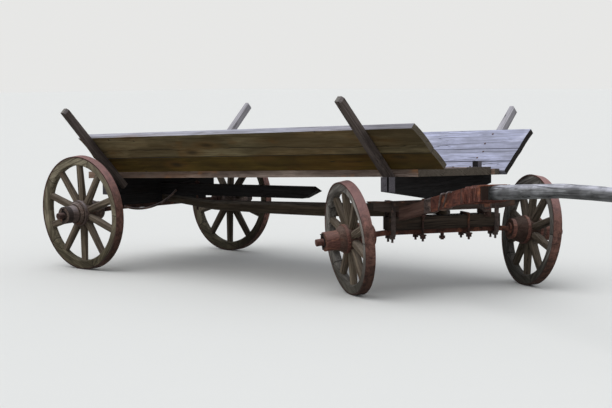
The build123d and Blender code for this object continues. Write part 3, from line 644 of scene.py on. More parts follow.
    def material(self, name: str, place: Placement,
                 shade: tuple[float, float] | None = None) -> bpy.types.Material:
        """Builds the material for one piece.

        Args:
            name: the material's name.
            place: the piece's own frame.
            shade: where along the piece a darkened stretch is full, and where it has faded: painted shade at
                the pole's root and the hounds' noses, a darker front on the near boards.

        Returns:
            The material.
        """
        graph = ShaderGraph(bpy.data.materials.new(name))
        wood = self.pattern(graph, place)
        crack = abs(graph.streaked(wood.bent, SPLITS, 1.0 / self.fibre) - 0.5)
        crack = crack.step(0.004 + 0.012 * self.cracking, 0.002)
        crack = crack * wood.patches.step(0.62 - 0.2 * self.cracking, 0.72 - 0.2 * self.cracking)
        streaks = wood.fibres * 0.55 + wood.ridges * 0.45
        tone = streaks.step(*TONE_EDGE)
        colour = self.marked(wood, self.aged(wood, tone))
        if place.layout is GrainLayout.FELLOES:
            gap = graph.joint_gap(place).step(*JOINT_EDGE)
            colour = graph.mix(gap * 0.9, colour, scaled(self.dark, GAP_SHADE))
        colour = graph.mix(crack * 0.9, colour, scaled(self.dark, CRACK_SHADE))
        if place.layout is GrainLayout.STRAIGHT:
            colour = self.end_grain(graph, place, colour)
        # A darkened stretch along local X: painted shade at the pole's root and the hounds' noses, a darker
        # front on the near boards
        if shade:
            darkened_stretch = graph.parts(graph.local(place))[0].step(shade[1], shade[0]) * self.darkened_stretch
            colour = graph.mix(darkened_stretch, colour, scaled(self.dark, DARKENED_STRETCH_SHADE))
        # Mostly painted shade on the low side of the rim, partly mud
        if place.layout is GrainLayout.FELLOES:
            colour = graph.low_side_shade_and_mud(place, colour)
        return graph.surface(colour, 0.93 - tone * 0.12, streaks - crack * 0.9, self.relief, specular=0.22)


@dataclass(frozen=True)
class RustedIron:
    """Old iron with scaly rust.

    Args:
        dark: the colour of its old black scale.
        rust: its usual rust colour.
        bright: the colour of fresh rust and rubbed places.
        bleach_and_sky_light: the colour of the painted sky light on its side facing up.
        bleaching_and_sky_light: how strong that painted sky light is, 0 to 1.
        freshness: how much bright rust there is.
        relief: how deep its scale is, in metres.
        side_dark: how dark the faces square to its axle are, 0 to 1.
    """

    dark: Colour
    rust: Colour
    bright: Colour
    bleach_and_sky_light: Colour
    bleaching_and_sky_light: float = 0.5
    freshness: float = 0.4
    relief: float = 0.0016
    side_dark: float = 0.0

    def material(self, name: str, place: Placement,
                 tip: tuple[float, float] | None = None) -> bpy.types.Material:
        """Builds the material for one piece.

        Args:
            name: the material's name.
            place: the piece's own frame.
            tip: where along local Z its darkened end starts, and where it is full: painted shade of a rear
                nave's hollow end.

        Returns:
            The material.
        """
        graph = ShaderGraph(bpy.data.materials.new(name))
        grain = graph.grain(place)
        scale, speckle, clouds = (graph.noise(grain, *noise) for noise in (SCALE, SPECKLE, CLOUDS))
        height = scale * 0.7 + speckle * 0.3
        colour = graph.mix(height.step(*SCALE_EDGE), self.dark, self.rust)
        fresh = clouds.step(0.62 - 0.2 * self.freshness, 0.74 - 0.2 * self.freshness) * scale.step(0.4, 0.6)
        colour = graph.mix(fresh * 0.8, colour, self.bright)
        # Painted sky light: faces turned up are lightened towards a pale colour
        sky = graph.facing(UP).step(*SKY_ON_IRON) * self.bleaching_and_sky_light
        colour = graph.mix(sky * (speckle * 0.8 + 0.4).clamped(), colour, self.bleach_and_sky_light)
        if self.side_dark:
            side = abs(graph.facing(place.matrix().col[2])).step(*TYRE_SIDES)
            colour = graph.mix(side * self.side_dark, colour, scaled(self.dark, IRON_DARKENING))
        # Painted shade of a rear nave's hollow end, darkening the outer end of its sleeve
        if tip:
            shaded_end = graph.parts(graph.local(place))[2].step(*tip)
            colour = graph.mix(shaded_end * 0.85, colour, scaled(self.dark, IRON_DARKENING))
        # Mostly painted shade on the low side of tyres and nave bands, partly mud
        if place.layout is GrainLayout.HOOP:
            colour = graph.low_side_shade_and_mud(place, colour)
        return graph.surface(colour, 0.88 - fresh * 0.12, height, self.relief, metallic=0.12, specular=0.35)


BOARD_OUTER = WeatheredWood(
    dark=(0.06, 0.043, 0.018), middle=(0.262, 0.19, 0.086), pale=(0.44, 0.36, 0.21),
    bleach_and_sky_light=(0.52, 0.53, 0.65), stain=(0.2, 0.098, 0.026), bleaching_and_sky_light=0.9, staining=0.45, cracking=0.6,
    fibre=0.04, relief=0.003, sawn_end=(0.28, 0.235, 0.18), low_tint=(0.43, 0.34, 0.115), low_below=-0.035,
    knots=1.0, drifting=0.35, contrast=0.72, seams=(-0.035,), split=(0.03, 0.16), darkened_stretch=0.45)
BOARD_INNER = WeatheredWood(
    dark=(0.17, 0.17, 0.205), middle=(0.43, 0.45, 0.62), pale=(0.62, 0.65, 0.88), bleach_and_sky_light=(0.56, 0.58, 0.76),
    stain=(0.74, 0.75, 0.86), bleaching_and_sky_light=0.3, staining=0.5, cracking=0.55, fibre=0.026,
    sawn_end=(0.03, 0.025, 0.023), drifting=0.4, contrast=0.85, seams=(-0.1115, 0.0135), mottling=0.2)
FLOOR_WOOD = WeatheredWood(
    dark=(0.09, 0.06, 0.045), middle=(0.4, 0.285, 0.225), pale=(0.64, 0.5, 0.43), bleach_and_sky_light=(0.53, 0.53, 0.63),
    stain=(0.54, 0.24, 0.095), bleaching_and_sky_light=0.75, staining=0.6, cracking=0.8, sawn_end=(0.17, 0.14, 0.11),
    drifting=0.4, contrast=0.8, mottling=0.2)
STAKE_NEAR = WeatheredWood(
    dark=(0.035, 0.026, 0.023), middle=(0.125, 0.095, 0.084), pale=(0.27, 0.22, 0.2),
    bleach_and_sky_light=(0.36, 0.34, 0.36), stain=(0.07, 0.05, 0.045), bleaching_and_sky_light=0.6, staining=0.35, cracking=0.8,
    sawn_end=(0.3, 0.28, 0.26))
STAKE_FAR = WeatheredWood(
    dark=(0.2, 0.19, 0.2), middle=(0.42, 0.4, 0.43), pale=(0.56, 0.54, 0.58), bleach_and_sky_light=(0.52, 0.51, 0.56),
    stain=(0.3, 0.25, 0.22), bleaching_and_sky_light=0.5, staining=0.25, cracking=0.8, sawn_end=(0.4, 0.38, 0.38))
POLE_WOOD = WeatheredWood(
    dark=(0.045, 0.045, 0.045), middle=(0.25, 0.25, 0.25), pale=(0.6, 0.6, 0.63), bleach_and_sky_light=(0.72, 0.72, 0.82),
    stain=(0.05, 0.047, 0.044), bleaching_and_sky_light=0.95, staining=0.45, cracking=1.0, fibre=0.034, relief=0.006,
    sawn_end=(0.3, 0.28, 0.26), contrast=0.85, mottling=0.42)
HOUND_WOOD = WeatheredWood(
    dark=(0.05, 0.028, 0.022), middle=(0.175, 0.095, 0.075), pale=(0.32, 0.19, 0.155),
    bleach_and_sky_light=(0.36, 0.28, 0.27), stain=(0.24, 0.09, 0.05), bleaching_and_sky_light=0.55, staining=0.6, cracking=0.6,
    sawn_end=(0.16, 0.09, 0.07))
SAND_TIMBER = WeatheredWood(
    dark=(0.03, 0.02, 0.016), middle=(0.11, 0.077, 0.062), pale=(0.24, 0.18, 0.155),
    bleach_and_sky_light=(0.26, 0.22, 0.21), stain=(0.22, 0.1, 0.055), bleaching_and_sky_light=0.5, staining=0.55, cracking=0.8,
    sawn_end=(0.09, 0.07, 0.06))
# Front axle bed: its colours darkened as painted shade under the wagon
SHADED_AXLE_TIMBER = WeatheredWood(
    dark=(0.008, 0.0055, 0.0045), middle=(0.034, 0.0235, 0.0165), pale=(0.1, 0.073, 0.055),
    bleach_and_sky_light=(0.16, 0.14, 0.13), stain=(0.1, 0.05, 0.03), bleaching_and_sky_light=0.5, staining=0.45, cracking=0.7,
    sawn_end=(0.05, 0.035, 0.028), contrast=0.85)
# Timber under the bed: its colours darkened to near black as painted shade of the bed above, its sawn ends left
# lighter
SHADED_BED_TIMBER = replace(
    SHADED_AXLE_TIMBER, dark=(0.004, 0.003, 0.003), middle=(0.011, 0.01, 0.01), pale=(0.028, 0.026, 0.027),
    stain=(0.022, 0.015, 0.012), bleach_and_sky_light=(0.12, 0.11, 0.12), sawn_end=(0.17, 0.155, 0.175))
REACH_WOOD = WeatheredWood(
    dark=(0.022, 0.016, 0.011), middle=(0.08, 0.058, 0.038), pale=(0.17, 0.13, 0.09),
    bleach_and_sky_light=(0.3, 0.27, 0.24), stain=(0.05, 0.032, 0.02), bleaching_and_sky_light=0.6, staining=0.35, cracking=0.7)
FELLOE_REAR = WeatheredWood(
    dark=(0.055, 0.04, 0.026), middle=(0.3, 0.243, 0.155), pale=(0.64, 0.56, 0.4),
    bleach_and_sky_light=(0.58, 0.53, 0.42), stain=(0.15, 0.085, 0.05), bleaching_and_sky_light=0.5, staining=0.45, cracking=0.9,
    fibre=0.016, contrast=0.85, mottling=0.35)
FELLOE_FRONT = replace(
    FELLOE_REAR, dark=(0.05, 0.042, 0.036), middle=(0.27, 0.235, 0.2), pale=(0.58, 0.54, 0.495),
    bleach_and_sky_light=(0.66, 0.63, 0.64), stain=(0.15, 0.1, 0.075))
SPOKE_WOOD = WeatheredWood(
    dark=(0.035, 0.025, 0.018), middle=(0.16, 0.12, 0.08), pale=(0.34, 0.27, 0.2),
    bleach_and_sky_light=(0.38, 0.32, 0.27), stain=(0.16, 0.075, 0.04), bleaching_and_sky_light=0.45, staining=0.4, cracking=0.7,
    fibre=0.014, contrast=0.8, mottling=0.25)
NAVE_WOOD = WeatheredWood(
    dark=(0.04, 0.02, 0.016), middle=(0.145, 0.08, 0.062), pale=(0.28, 0.18, 0.14),
    bleach_and_sky_light=(0.34, 0.26, 0.23), stain=(0.22, 0.085, 0.045), bleaching_and_sky_light=0.35, staining=0.7, cracking=0.9,
    fibre=0.014)
NAVE_REAR = replace(
    NAVE_WOOD, dark=(0.04, 0.026, 0.02), middle=(0.17, 0.112, 0.085), pale=(0.35, 0.26, 0.22),
    bleach_and_sky_light=(0.36, 0.33, 0.34), seams=(0.066, 0.094), contrast=0.75)
TYRE_IRON = RustedIron(
    dark=(0.08, 0.042, 0.034), rust=(0.26, 0.128, 0.1), bright=(0.4, 0.185, 0.145),
    bleach_and_sky_light=(0.44, 0.265, 0.265), bleaching_and_sky_light=0.75, freshness=0.35, side_dark=0.75)
BAND_IRON = RustedIron(
    dark=(0.075, 0.036, 0.03), rust=(0.25, 0.11, 0.085), bright=(0.4, 0.17, 0.1), bleach_and_sky_light=(0.4, 0.26, 0.23),
    bleaching_and_sky_light=0.5, freshness=0.5)
SLEEVE_IRON = RustedIron(
    dark=(0.05, 0.036, 0.032), rust=(0.2, 0.145, 0.13), bright=(0.34, 0.21, 0.16),
    bleach_and_sky_light=(0.44, 0.39, 0.41), bleaching_and_sky_light=0.7, freshness=0.4)
STRAP_IRON = replace(
    SLEEVE_IRON, rust=(0.135, 0.1, 0.088), bright=(0.25, 0.15, 0.11), bleach_and_sky_light=(0.34, 0.29, 0.29))
FORGED_IRON = RustedIron(
    dark=(0.028, 0.017, 0.015), rust=(0.1, 0.05, 0.04), bright=(0.25, 0.1, 0.05), bleach_and_sky_light=(0.27, 0.19, 0.18),
    bleaching_and_sky_light=0.45, freshness=0.4)
CLAMP_IRON = RustedIron(
    dark=(0.07, 0.032, 0.026), rust=(0.24, 0.085, 0.06), bright=(0.42, 0.15, 0.07),
    bleach_and_sky_light=(0.36, 0.2, 0.18), bleaching_and_sky_light=0.5, freshness=0.6)
ARM_IRON = RustedIron(
    dark=(0.045, 0.022, 0.018), rust=(0.17, 0.07, 0.05), bright=(0.32, 0.12, 0.065),
    bleach_and_sky_light=(0.34, 0.21, 0.19), bleaching_and_sky_light=0.4, freshness=0.5)
DARK_IRON = RustedIron(
    dark=(0.006, 0.005, 0.005), rust=(0.02, 0.014, 0.013), bright=(0.06, 0.03, 0.02),
    bleach_and_sky_light=(0.08, 0.06, 0.06), bleaching_and_sky_light=0.3, freshness=0.25)


def shaded_copy(finish: WeatheredWood, share: float) -> WeatheredWood:
    """Returns a darker copy of the wood, its colours times a share: painted shade for pieces that stand in the
    wagon's shade.
    """
    return replace(finish, **{key: scaled(getattr(finish, key), share)
                              for key in ("dark", "middle", "pale", "bleach_and_sky_light", "stain")})


def cover(node: str, material: bpy.types.Material) -> None:
    """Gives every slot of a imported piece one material.

    Args:
        node: the piece's name.
        material: its finish.
    """
    slots = frame["nodes"][node].material_slots
    for slot in slots:
        slot.material = material
    if not slots:
        frame["nodes"][node].data.materials.append(material)
    LOG.info("dressed %s", node)


def dress(node: str, finish: WeatheredWood | RustedIron, along: Vector, up: Vector = UP, seed: float = 0.0,
          **marks: tuple[float, float]) -> None:
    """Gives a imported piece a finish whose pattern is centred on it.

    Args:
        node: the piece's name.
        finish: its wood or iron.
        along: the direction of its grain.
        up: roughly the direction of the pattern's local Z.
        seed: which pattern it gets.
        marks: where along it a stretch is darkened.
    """
    cover(node, finish.material(node + "_finish", Placement(middle_of(node), along, up, seed=seed), **marks))


def joint(name: str) -> dict[str, object]:
    """Returns a joint as the record gives it."""
    return next(row for row in frame["record"]["behaviour"]["joints"] if row["name"] == name)


def middle_of(node: str) -> Vector:
    """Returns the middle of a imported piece's box."""
    low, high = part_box(node)
    return (Vector(low) + Vector(high)) / 2


def choose(*pieces: bpy.types.Object) -> None:
    """Selects these pieces alone, the first of them active.

    Args:
        pieces: the pieces, or none to leave nothing selected.
    """
    bpy.ops.object.select_all(action="DESELECT")
    for piece in pieces:
        piece.select_set(True)
    if pieces:
        bpy.context.view_layer.objects.active = pieces[0]


def pick(piece: bpy.types.Object, wanted: Callable[[Vector], bool]) -> None:
    """Selects the corners of the piece in edit mode that a test accepts.

    Args:
        piece: the piece being shaped.
        wanted: takes a corner's place and says whether it is selected.
    """
    bpy.ops.mesh.select_mode(type="VERT")
    bpy.ops.mesh.select_all(action="DESELECT")
    shape = bmesh.from_edit_mesh(piece.data)
    for corner in shape.verts:
        corner.select = wanted(corner.co)
    shape.select_flush(True)
    bmesh.update_edit_mesh(piece.data)


def apply_modifier(piece: bpy.types.Object, kind: str, **settings: object) -> None:
    """Adds one modifier to the active piece and applies it.

    Args:
        piece: the piece.
        kind: the modifier's type.
        settings: its properties.
    """
    modifier = piece.modifiers.new(kind.lower(), kind)
    for key, value in settings.items():
        setattr(modifier, key, value)
    bpy.ops.object.modifier_apply(modifier=modifier.name)


def settle(piece: bpy.types.Object, place: Matrix) -> None:
    """Puts a piece where it belongs, with its place in its mesh.

    Args:
        piece: the piece, made about the world's origin.
        place: where it goes.
    """
    choose(piece)
    piece.matrix_world = place @ piece.matrix_world
    bpy.ops.object.transform_apply(location=True, rotation=True, scale=True)


def ribbon(name: str, points: list[Vector], width: Vector, thickness: float, closed: bool = False,
           soft: float = 0.001) -> bpy.types.Object:
    """Models a strip of iron that follows points, by extruding one edge of a plane from each to the next.

    Args:
        name: the piece's name.
        points: the middle line, in order.
        width: the strip's width, as a vector across it.
        thickness: how thick the iron is.
        closed: whether it ends where it starts.
        soft: the radius of its worn edges.

    Returns:
        The strip, at the world's origin.
    """
    choose()
    bpy.ops.mesh.primitive_plane_add(size=1.0)
    piece = bpy.context.active_object
    piece.name = name
    bpy.ops.object.mode_set(mode="EDIT")
    # The strip is drawn far above, so that none of its corners meets one of the plane's
    away = 50 * UP
    edges = (-0.5, 0.5)
    for end in (0, 1):
        for edge in edges:
            corner = Vector((end - 0.5, edge, 0))
            pick(piece, lambda place: (place - corner).length < TOUCHING)
            bpy.ops.transform.translate(value=points[end] + width * edge - corner + away)
    drawn = [points[1] + width * edge + away for edge in edges]
    pick(piece, lambda place: min((place - corner).length for corner in drawn) < TOUCHING)
    line = points[1:] + points[:1] if closed else points[1:]
    for before, after in zip(line, line[1:]):
        bpy.ops.mesh.extrude_edges_move(TRANSFORM_OT_translate={"value": after - before})
    bpy.ops.mesh.select_all(action="SELECT")
    bpy.ops.transform.translate(value=-away)
    bpy.ops.mesh.remove_doubles(threshold=TOUCHING)
    bpy.ops.mesh.normals_make_consistent(inside=False)
    bpy.ops.object.mode_set(mode="OBJECT")
    apply_modifier(piece, "SOLIDIFY", thickness=thickness, offset=0.0, use_even_offset=True)
    apply_modifier(piece, "BEVEL", width=soft, segments=1, limit_method="ANGLE", angle_limit=math.radians(40))
    return piece


def crumple(piece: bpy.types.Object, size: float, depth: float, cuts: int = 2) -> None:
    """Dents a piece a little, as old iron is.

    Args:
        piece: the piece.
        size: how far apart the dents are.
        depth: how deep they are.
        cuts: how finely the piece is divided first.
    """
    choose(piece)
    bpy.ops.object.mode_set(mode="EDIT")
    bpy.ops.mesh.select_all(action="SELECT")
    bpy.ops.mesh.subdivide(number_cuts=cuts)
    bpy.ops.object.mode_set(mode="OBJECT")
    dents = bpy.data.textures.new(piece.name + "_dents", "CLOUDS")
    dents.noise_scale = size
    apply_modifier(piece, "DISPLACE", texture=dents, texture_coords="LOCAL", strength=depth, mid_level=0.5)


def joined_as(name: str, pieces: list[bpy.types.Object]) -> bpy.types.Object:
    """Joins pieces into one.

    Args:
        name: the name of the whole.
        pieces: its parts.

    Returns:
        The whole.
    """
    choose(*pieces)
    bpy.ops.object.join()
    pieces[0].name = name
    return pieces[0]


@dataclass(frozen=True)
class NailHead:
    """A hand-forged domed nail head.

    Args:
        radius: its radius.
        rise: how far it stands proud.
    """

    radius: float = 0.0065
    rise: float = 0.0028

    def model(self, name: str) -> bpy.types.Object:
        """Models one head at the origin, its top along Z, from a nine-sided disc with a drawn-in crown.

        Args:
            name: the head's name.

        Returns:
            The head.
        """
        choose()
        bpy.ops.mesh.primitive_cylinder_add(vertices=9, radius=self.radius, depth=self.rise,
                                            location=(0, 0, self.rise / 2))
        piece = bpy.context.active_object
        piece.name = name
        settle(piece, Matrix())
        bpy.ops.object.mode_set(mode="EDIT")
        pick(piece, lambda place: place.z > self.rise * 0.9)
        bpy.ops.mesh.inset(thickness=self.radius * 0.4)
        bpy.ops.transform.translate(value=(0, 0, self.rise * 0.6))
        bpy.ops.object.mode_set(mode="OBJECT")
        return piece

    def scatter(self, name: str, places: list[tuple[Vector, Vector]]) -> bpy.types.Object:
        """Copies the head to each place, standing along each direction, as one piece.

        Args:
            name: the piece's name.
            places: where each head sits and which way it faces.

        Returns:
            All the heads as one piece.
        """
        first = self.model(name)
        heads = []
        for number, (where, facing) in enumerate(places):
            head = first.copy()
            head.data = first.data.copy()
            bpy.context.scene.collection.objects.link(head)
            turn = facing.to_track_quat("Z", "Y").to_matrix().to_4x4()
            settle(head, Matrix.Translation(where) @ turn @ Matrix.Rotation(0.7 * number, 4, "Z"))
            heads.append(head)
        bpy.data.objects.remove(first)
        return joined_as(name, heads)


def finish_piece(piece: bpy.types.Object, body: str, material: bpy.types.Material,
                 smooth: float = 35.0) -> None:
    """Gives a new piece its body and its finish, and reports it.

    Args:
        piece: the new piece, in its place.
        body: the body that it moves with.
        material: its finish.
        smooth: the widest angle that is shaded smooth, in degrees.
    """
    choose(piece)
    bpy.ops.object.shade_smooth_by_angle(angle=math.radians(smooth))
    piece.data.materials.clear()
    piece.data.materials.append(material)
    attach(piece, body)
    LOG.info("made %s on %s", piece.name, body)


@dataclass
class ViewCamera:
    """The camera at the photograph's viewpoint, found from the wheels, the bed's corners and the pole.

    Args:
        place: where it stands.
        turn: how far it looks to the left of straight across, in radians.
        pitch: how far it looks down, in radians.
        roll: how far it is tipped, in radians.
        lens: its focal length on a 36 mm wide sensor, in millimetres.
    """

    place: Vector = field(default_factory=lambda: Vector((6.3635, -8.1069, 1.4762)))
    turn: float = 0.7240
    pitch: float = 0.0851
    roll: float = -0.0078
    lens: float = 88.24

    def build(self) -> None:
        """Makes the camera and gives it to the scene."""
        data = bpy.data.cameras.new("viewpoint")
        data.sensor_width = 36.0
        data.lens = self.lens
        data.clip_end = 200.0
        camera = bpy.data.objects.new("viewpoint", data)
        bpy.context.scene.collection.objects.link(camera)
        level = Matrix.Rotation(self.turn, 4, "Z") @ Matrix.Rotation(math.pi / 2 - self.pitch, 4, "X")
        camera.matrix_world = Matrix.Translation(self.place) @ level @ Matrix.Rotation(self.roll, 4, "Z")
        bpy.context.scene.camera = camera


@dataclass
class Studio:
    """A plain pale floor and soft light from above, like an overcast sky.

    Args:
        floor_half: half the floor's width.
        floor_colour: its colour.
        floor_bounce: the darker grey that the floor throws back onto the wagon.
        backdrop: the colour behind the floor.
        sky_colour: the colour of the light from all round.
        sky_strength: its strength.
        sun_strength: the strength of the broad light from above.
        sun_spread: how broad it is, in degrees.
        sun_direction: the way it shines, from high on the camera's left.
    """

    floor_half: float = 120.0
    floor_colour: Colour = (0.78, 0.78, 0.765)
    floor_bounce: Colour = (0.2, 0.205, 0.19)
    backdrop: Colour = (0.8, 0.8, 0.79)
    sky_colour: Colour = (0.94, 0.97, 1.0)
    sky_strength: float = 0.66
    sun_strength: float = 1.35
    sun_spread: float = 70.0
    sun_direction: tuple[float, float, float] = (0.25, 0.35, -1.0)

    def floor(self) -> None:
        """Lays the floor a hair under the tyres."""
        bpy.ops.mesh.primitive_plane_add(size=2 * self.floor_half, location=(0, 0, -0.0005))
        floor = bpy.context.active_object
        floor.name = "studio_floor"
        settle(floor, Matrix())
        graph = ShaderGraph(bpy.data.materials.new("pale_floor"))
        grain = graph.value("ShaderNodeTexCoord", {}, {}, "Object")
        mottle = graph.noise(grain, *FLOOR_MOTTLE)
        pale = graph.mix(mottle, scaled(self.floor_colour, 0.985), self.floor_colour)
        colour = graph.mix(graph.seen(), self.floor_bounce, pale)
        floor.data.materials.append(graph.surface(colour, 0.9, mottle, 0.0005, specular=0.1))

    def sky(self) -> None:
        """Lights the scene evenly, with a pale background behind it."""
        world = bpy.data.worlds.new("overcast")
        bpy.context.scene.world = world
        graph = ShaderGraph(world)
        lights = ((self.sky_colour, self.sky_strength), (self.backdrop, 1.0))
        light, behind = (graph.value("ShaderNodeBackground", {}, {"Color": (*colour, 1.0), "Strength": power})
                         for colour, power in lights)
        blend = graph.value("ShaderNodeMixShader", {}, {0: graph.seen(), 1: light, 2: behind})
        graph.node("ShaderNodeOutputWorld", {}, {"Surface": blend})

    def sun(self) -> None:
        """Shines one very broad light from high on the camera's left, like a bright part of the cloud."""
        data = bpy.data.lights.new("overhead", "SUN")
        data.energy = self.sun_strength
        data.angle = math.radians(self.sun_spread)
        sun = bpy.data.objects.new("overhead", data)
        bpy.context.scene.collection.objects.link(sun)
        sun.rotation_euler = Vector(self.sun_direction).to_track_quat("-Z", "Y").to_euler()

    def build(self) -> None:
        """Makes the floor and the lights."""
        self.floor()
        self.sky()
        self.sun()


@dataclass
class Wheel:
    """One spoked wheel on its arm.

    Args:
        body: the wheel's body and the start of its pieces' names.
        seed: which patterns its wood gets.
        spoke_count: how many spokes it has.
        felloe_count: how many felloes it has.
        shade_share: how dark the painted shade makes the wood of a wheel on the left side.
        shaded_nose: where along a rear wheel's arm the painted shade of its nave's hollow end starts, and where
            it is full.
    """

    body: str
    seed: float
    spoke_count: int = 10
    felloe_count: int = 5
    shade_share: float = 0.56
    shaded_nose: tuple[float, float] = (0.142, 0.155)

    def place(self) -> Placement:
        """Finds the wheel's own frame, with its axle along Z pointing outwards.

        Returns:
            The frame.
        """
        turn = joint(self.body + "_turn")
        ahead = AHEAD if "rear" in self.body else front_gear_ahead()
        outwards = Vector(turn["axis"]) * (1 if "left" in self.body else -1)
        return Placement(Vector(turn["pos_m"]), ahead, outwards, seed=self.seed)

    def build(self) -> None:
        """Dresses the wheel's five pieces."""
        place = self.place()
        rear = (FELLOE_REAR, NAVE_REAR, SLEEVE_IRON, self.shaded_nose)
        front = (FELLOE_FRONT, NAVE_WOOD, BAND_IRON, None)
        felloe, nave, bands, nose = rear if "rear" in self.body else front
        for part, wood, layout, count in (("nave", nave, GrainLayout.TURNED, 1),
                                          ("spokes", SPOKE_WOOD, GrainLayout.SPOKES, self.spoke_count),
                                          ("felloes", felloe, GrainLayout.FELLOES, self.felloe_count)):
            # Wheels on the left get a darker copy of their wood: painted shade
            wood = shaded_copy(wood, self.shade_share) if "left" in self.body else wood
            name = self.body + "_" + part
            cover(name, wood.material(name, replace(place, layout=layout, count=count)))
        for part, iron, tip in (("nave_bands", bands, nose), ("tyre", TYRE_IRON, None)):
            name = self.body + "_" + part
            cover(name, iron.material(name, replace(place, layout=GrainLayout.HOOP), tip))


def front_gear_ahead() -> Vector:
    """Returns the direction in which the parked front gear points."""
    right, left = (Vector(joint("wheel_front_" + side + "_turn")["pos_m"]) for side in ("right", "left"))
    return (left - right).normalized().cross(UP)


@dataclass
class HoundLine:
    """The line of one hound, in the gear's own frame: ahead, to the left and up, in metres.

    Args:
        side: -1 for the right hound, 1 for the left.
        bed_top: how high the top of the front axle bed is.
        root: where its rising length starts, above the bed's top.
        bend: where it turns to run along the pole.
        nose: its front end.
        half_width: half its width.
        half_depth: half its depth.
    """

    side: int
    bed_top: float
    root: tuple[float, float, float] = (0.055, 0.321, 0.022)
    bend: tuple[float, float, float] = (0.52, 0.078, 0.167)
    nose: tuple[float, float, float] = (0.83, 0.078, 0.211)
    half_width: float = 0.024
    half_depth: float = 0.044

    def rising(self, share: float) -> Vector:
        """Returns the middle of the rising length at a share of it."""
        x, y, z = (a + share * (b - a) for a, b in zip(self.root, self.bend))
        return Vector((x, self.side * y, self.bed_top + z))

    def along_pole(self, ahead: float) -> Vector:
        """Finds the middle of the clamped length.

        Args:
            ahead: how far ahead of the king bolt.

        Returns:
            The point, in the gear's own frame.
        """
        share = (ahead - self.bend[0]) / (self.nose[0] - self.bend[0])
        return Vector((ahead, self.side * self.bend[1],
                       self.bed_top + self.bend[2] + share * (self.nose[2] - self.bend[2])))

    def beside_pole(self, ahead: float) -> Vector:
        """Finds the middle of the pole, level with the clamped length.

        Args:
            ahead: how far ahead of the king bolt.

        Returns:
            The point, in the gear's own frame.
        """
        point = self.along_pole(ahead)
        point.y = 0.0
        return point


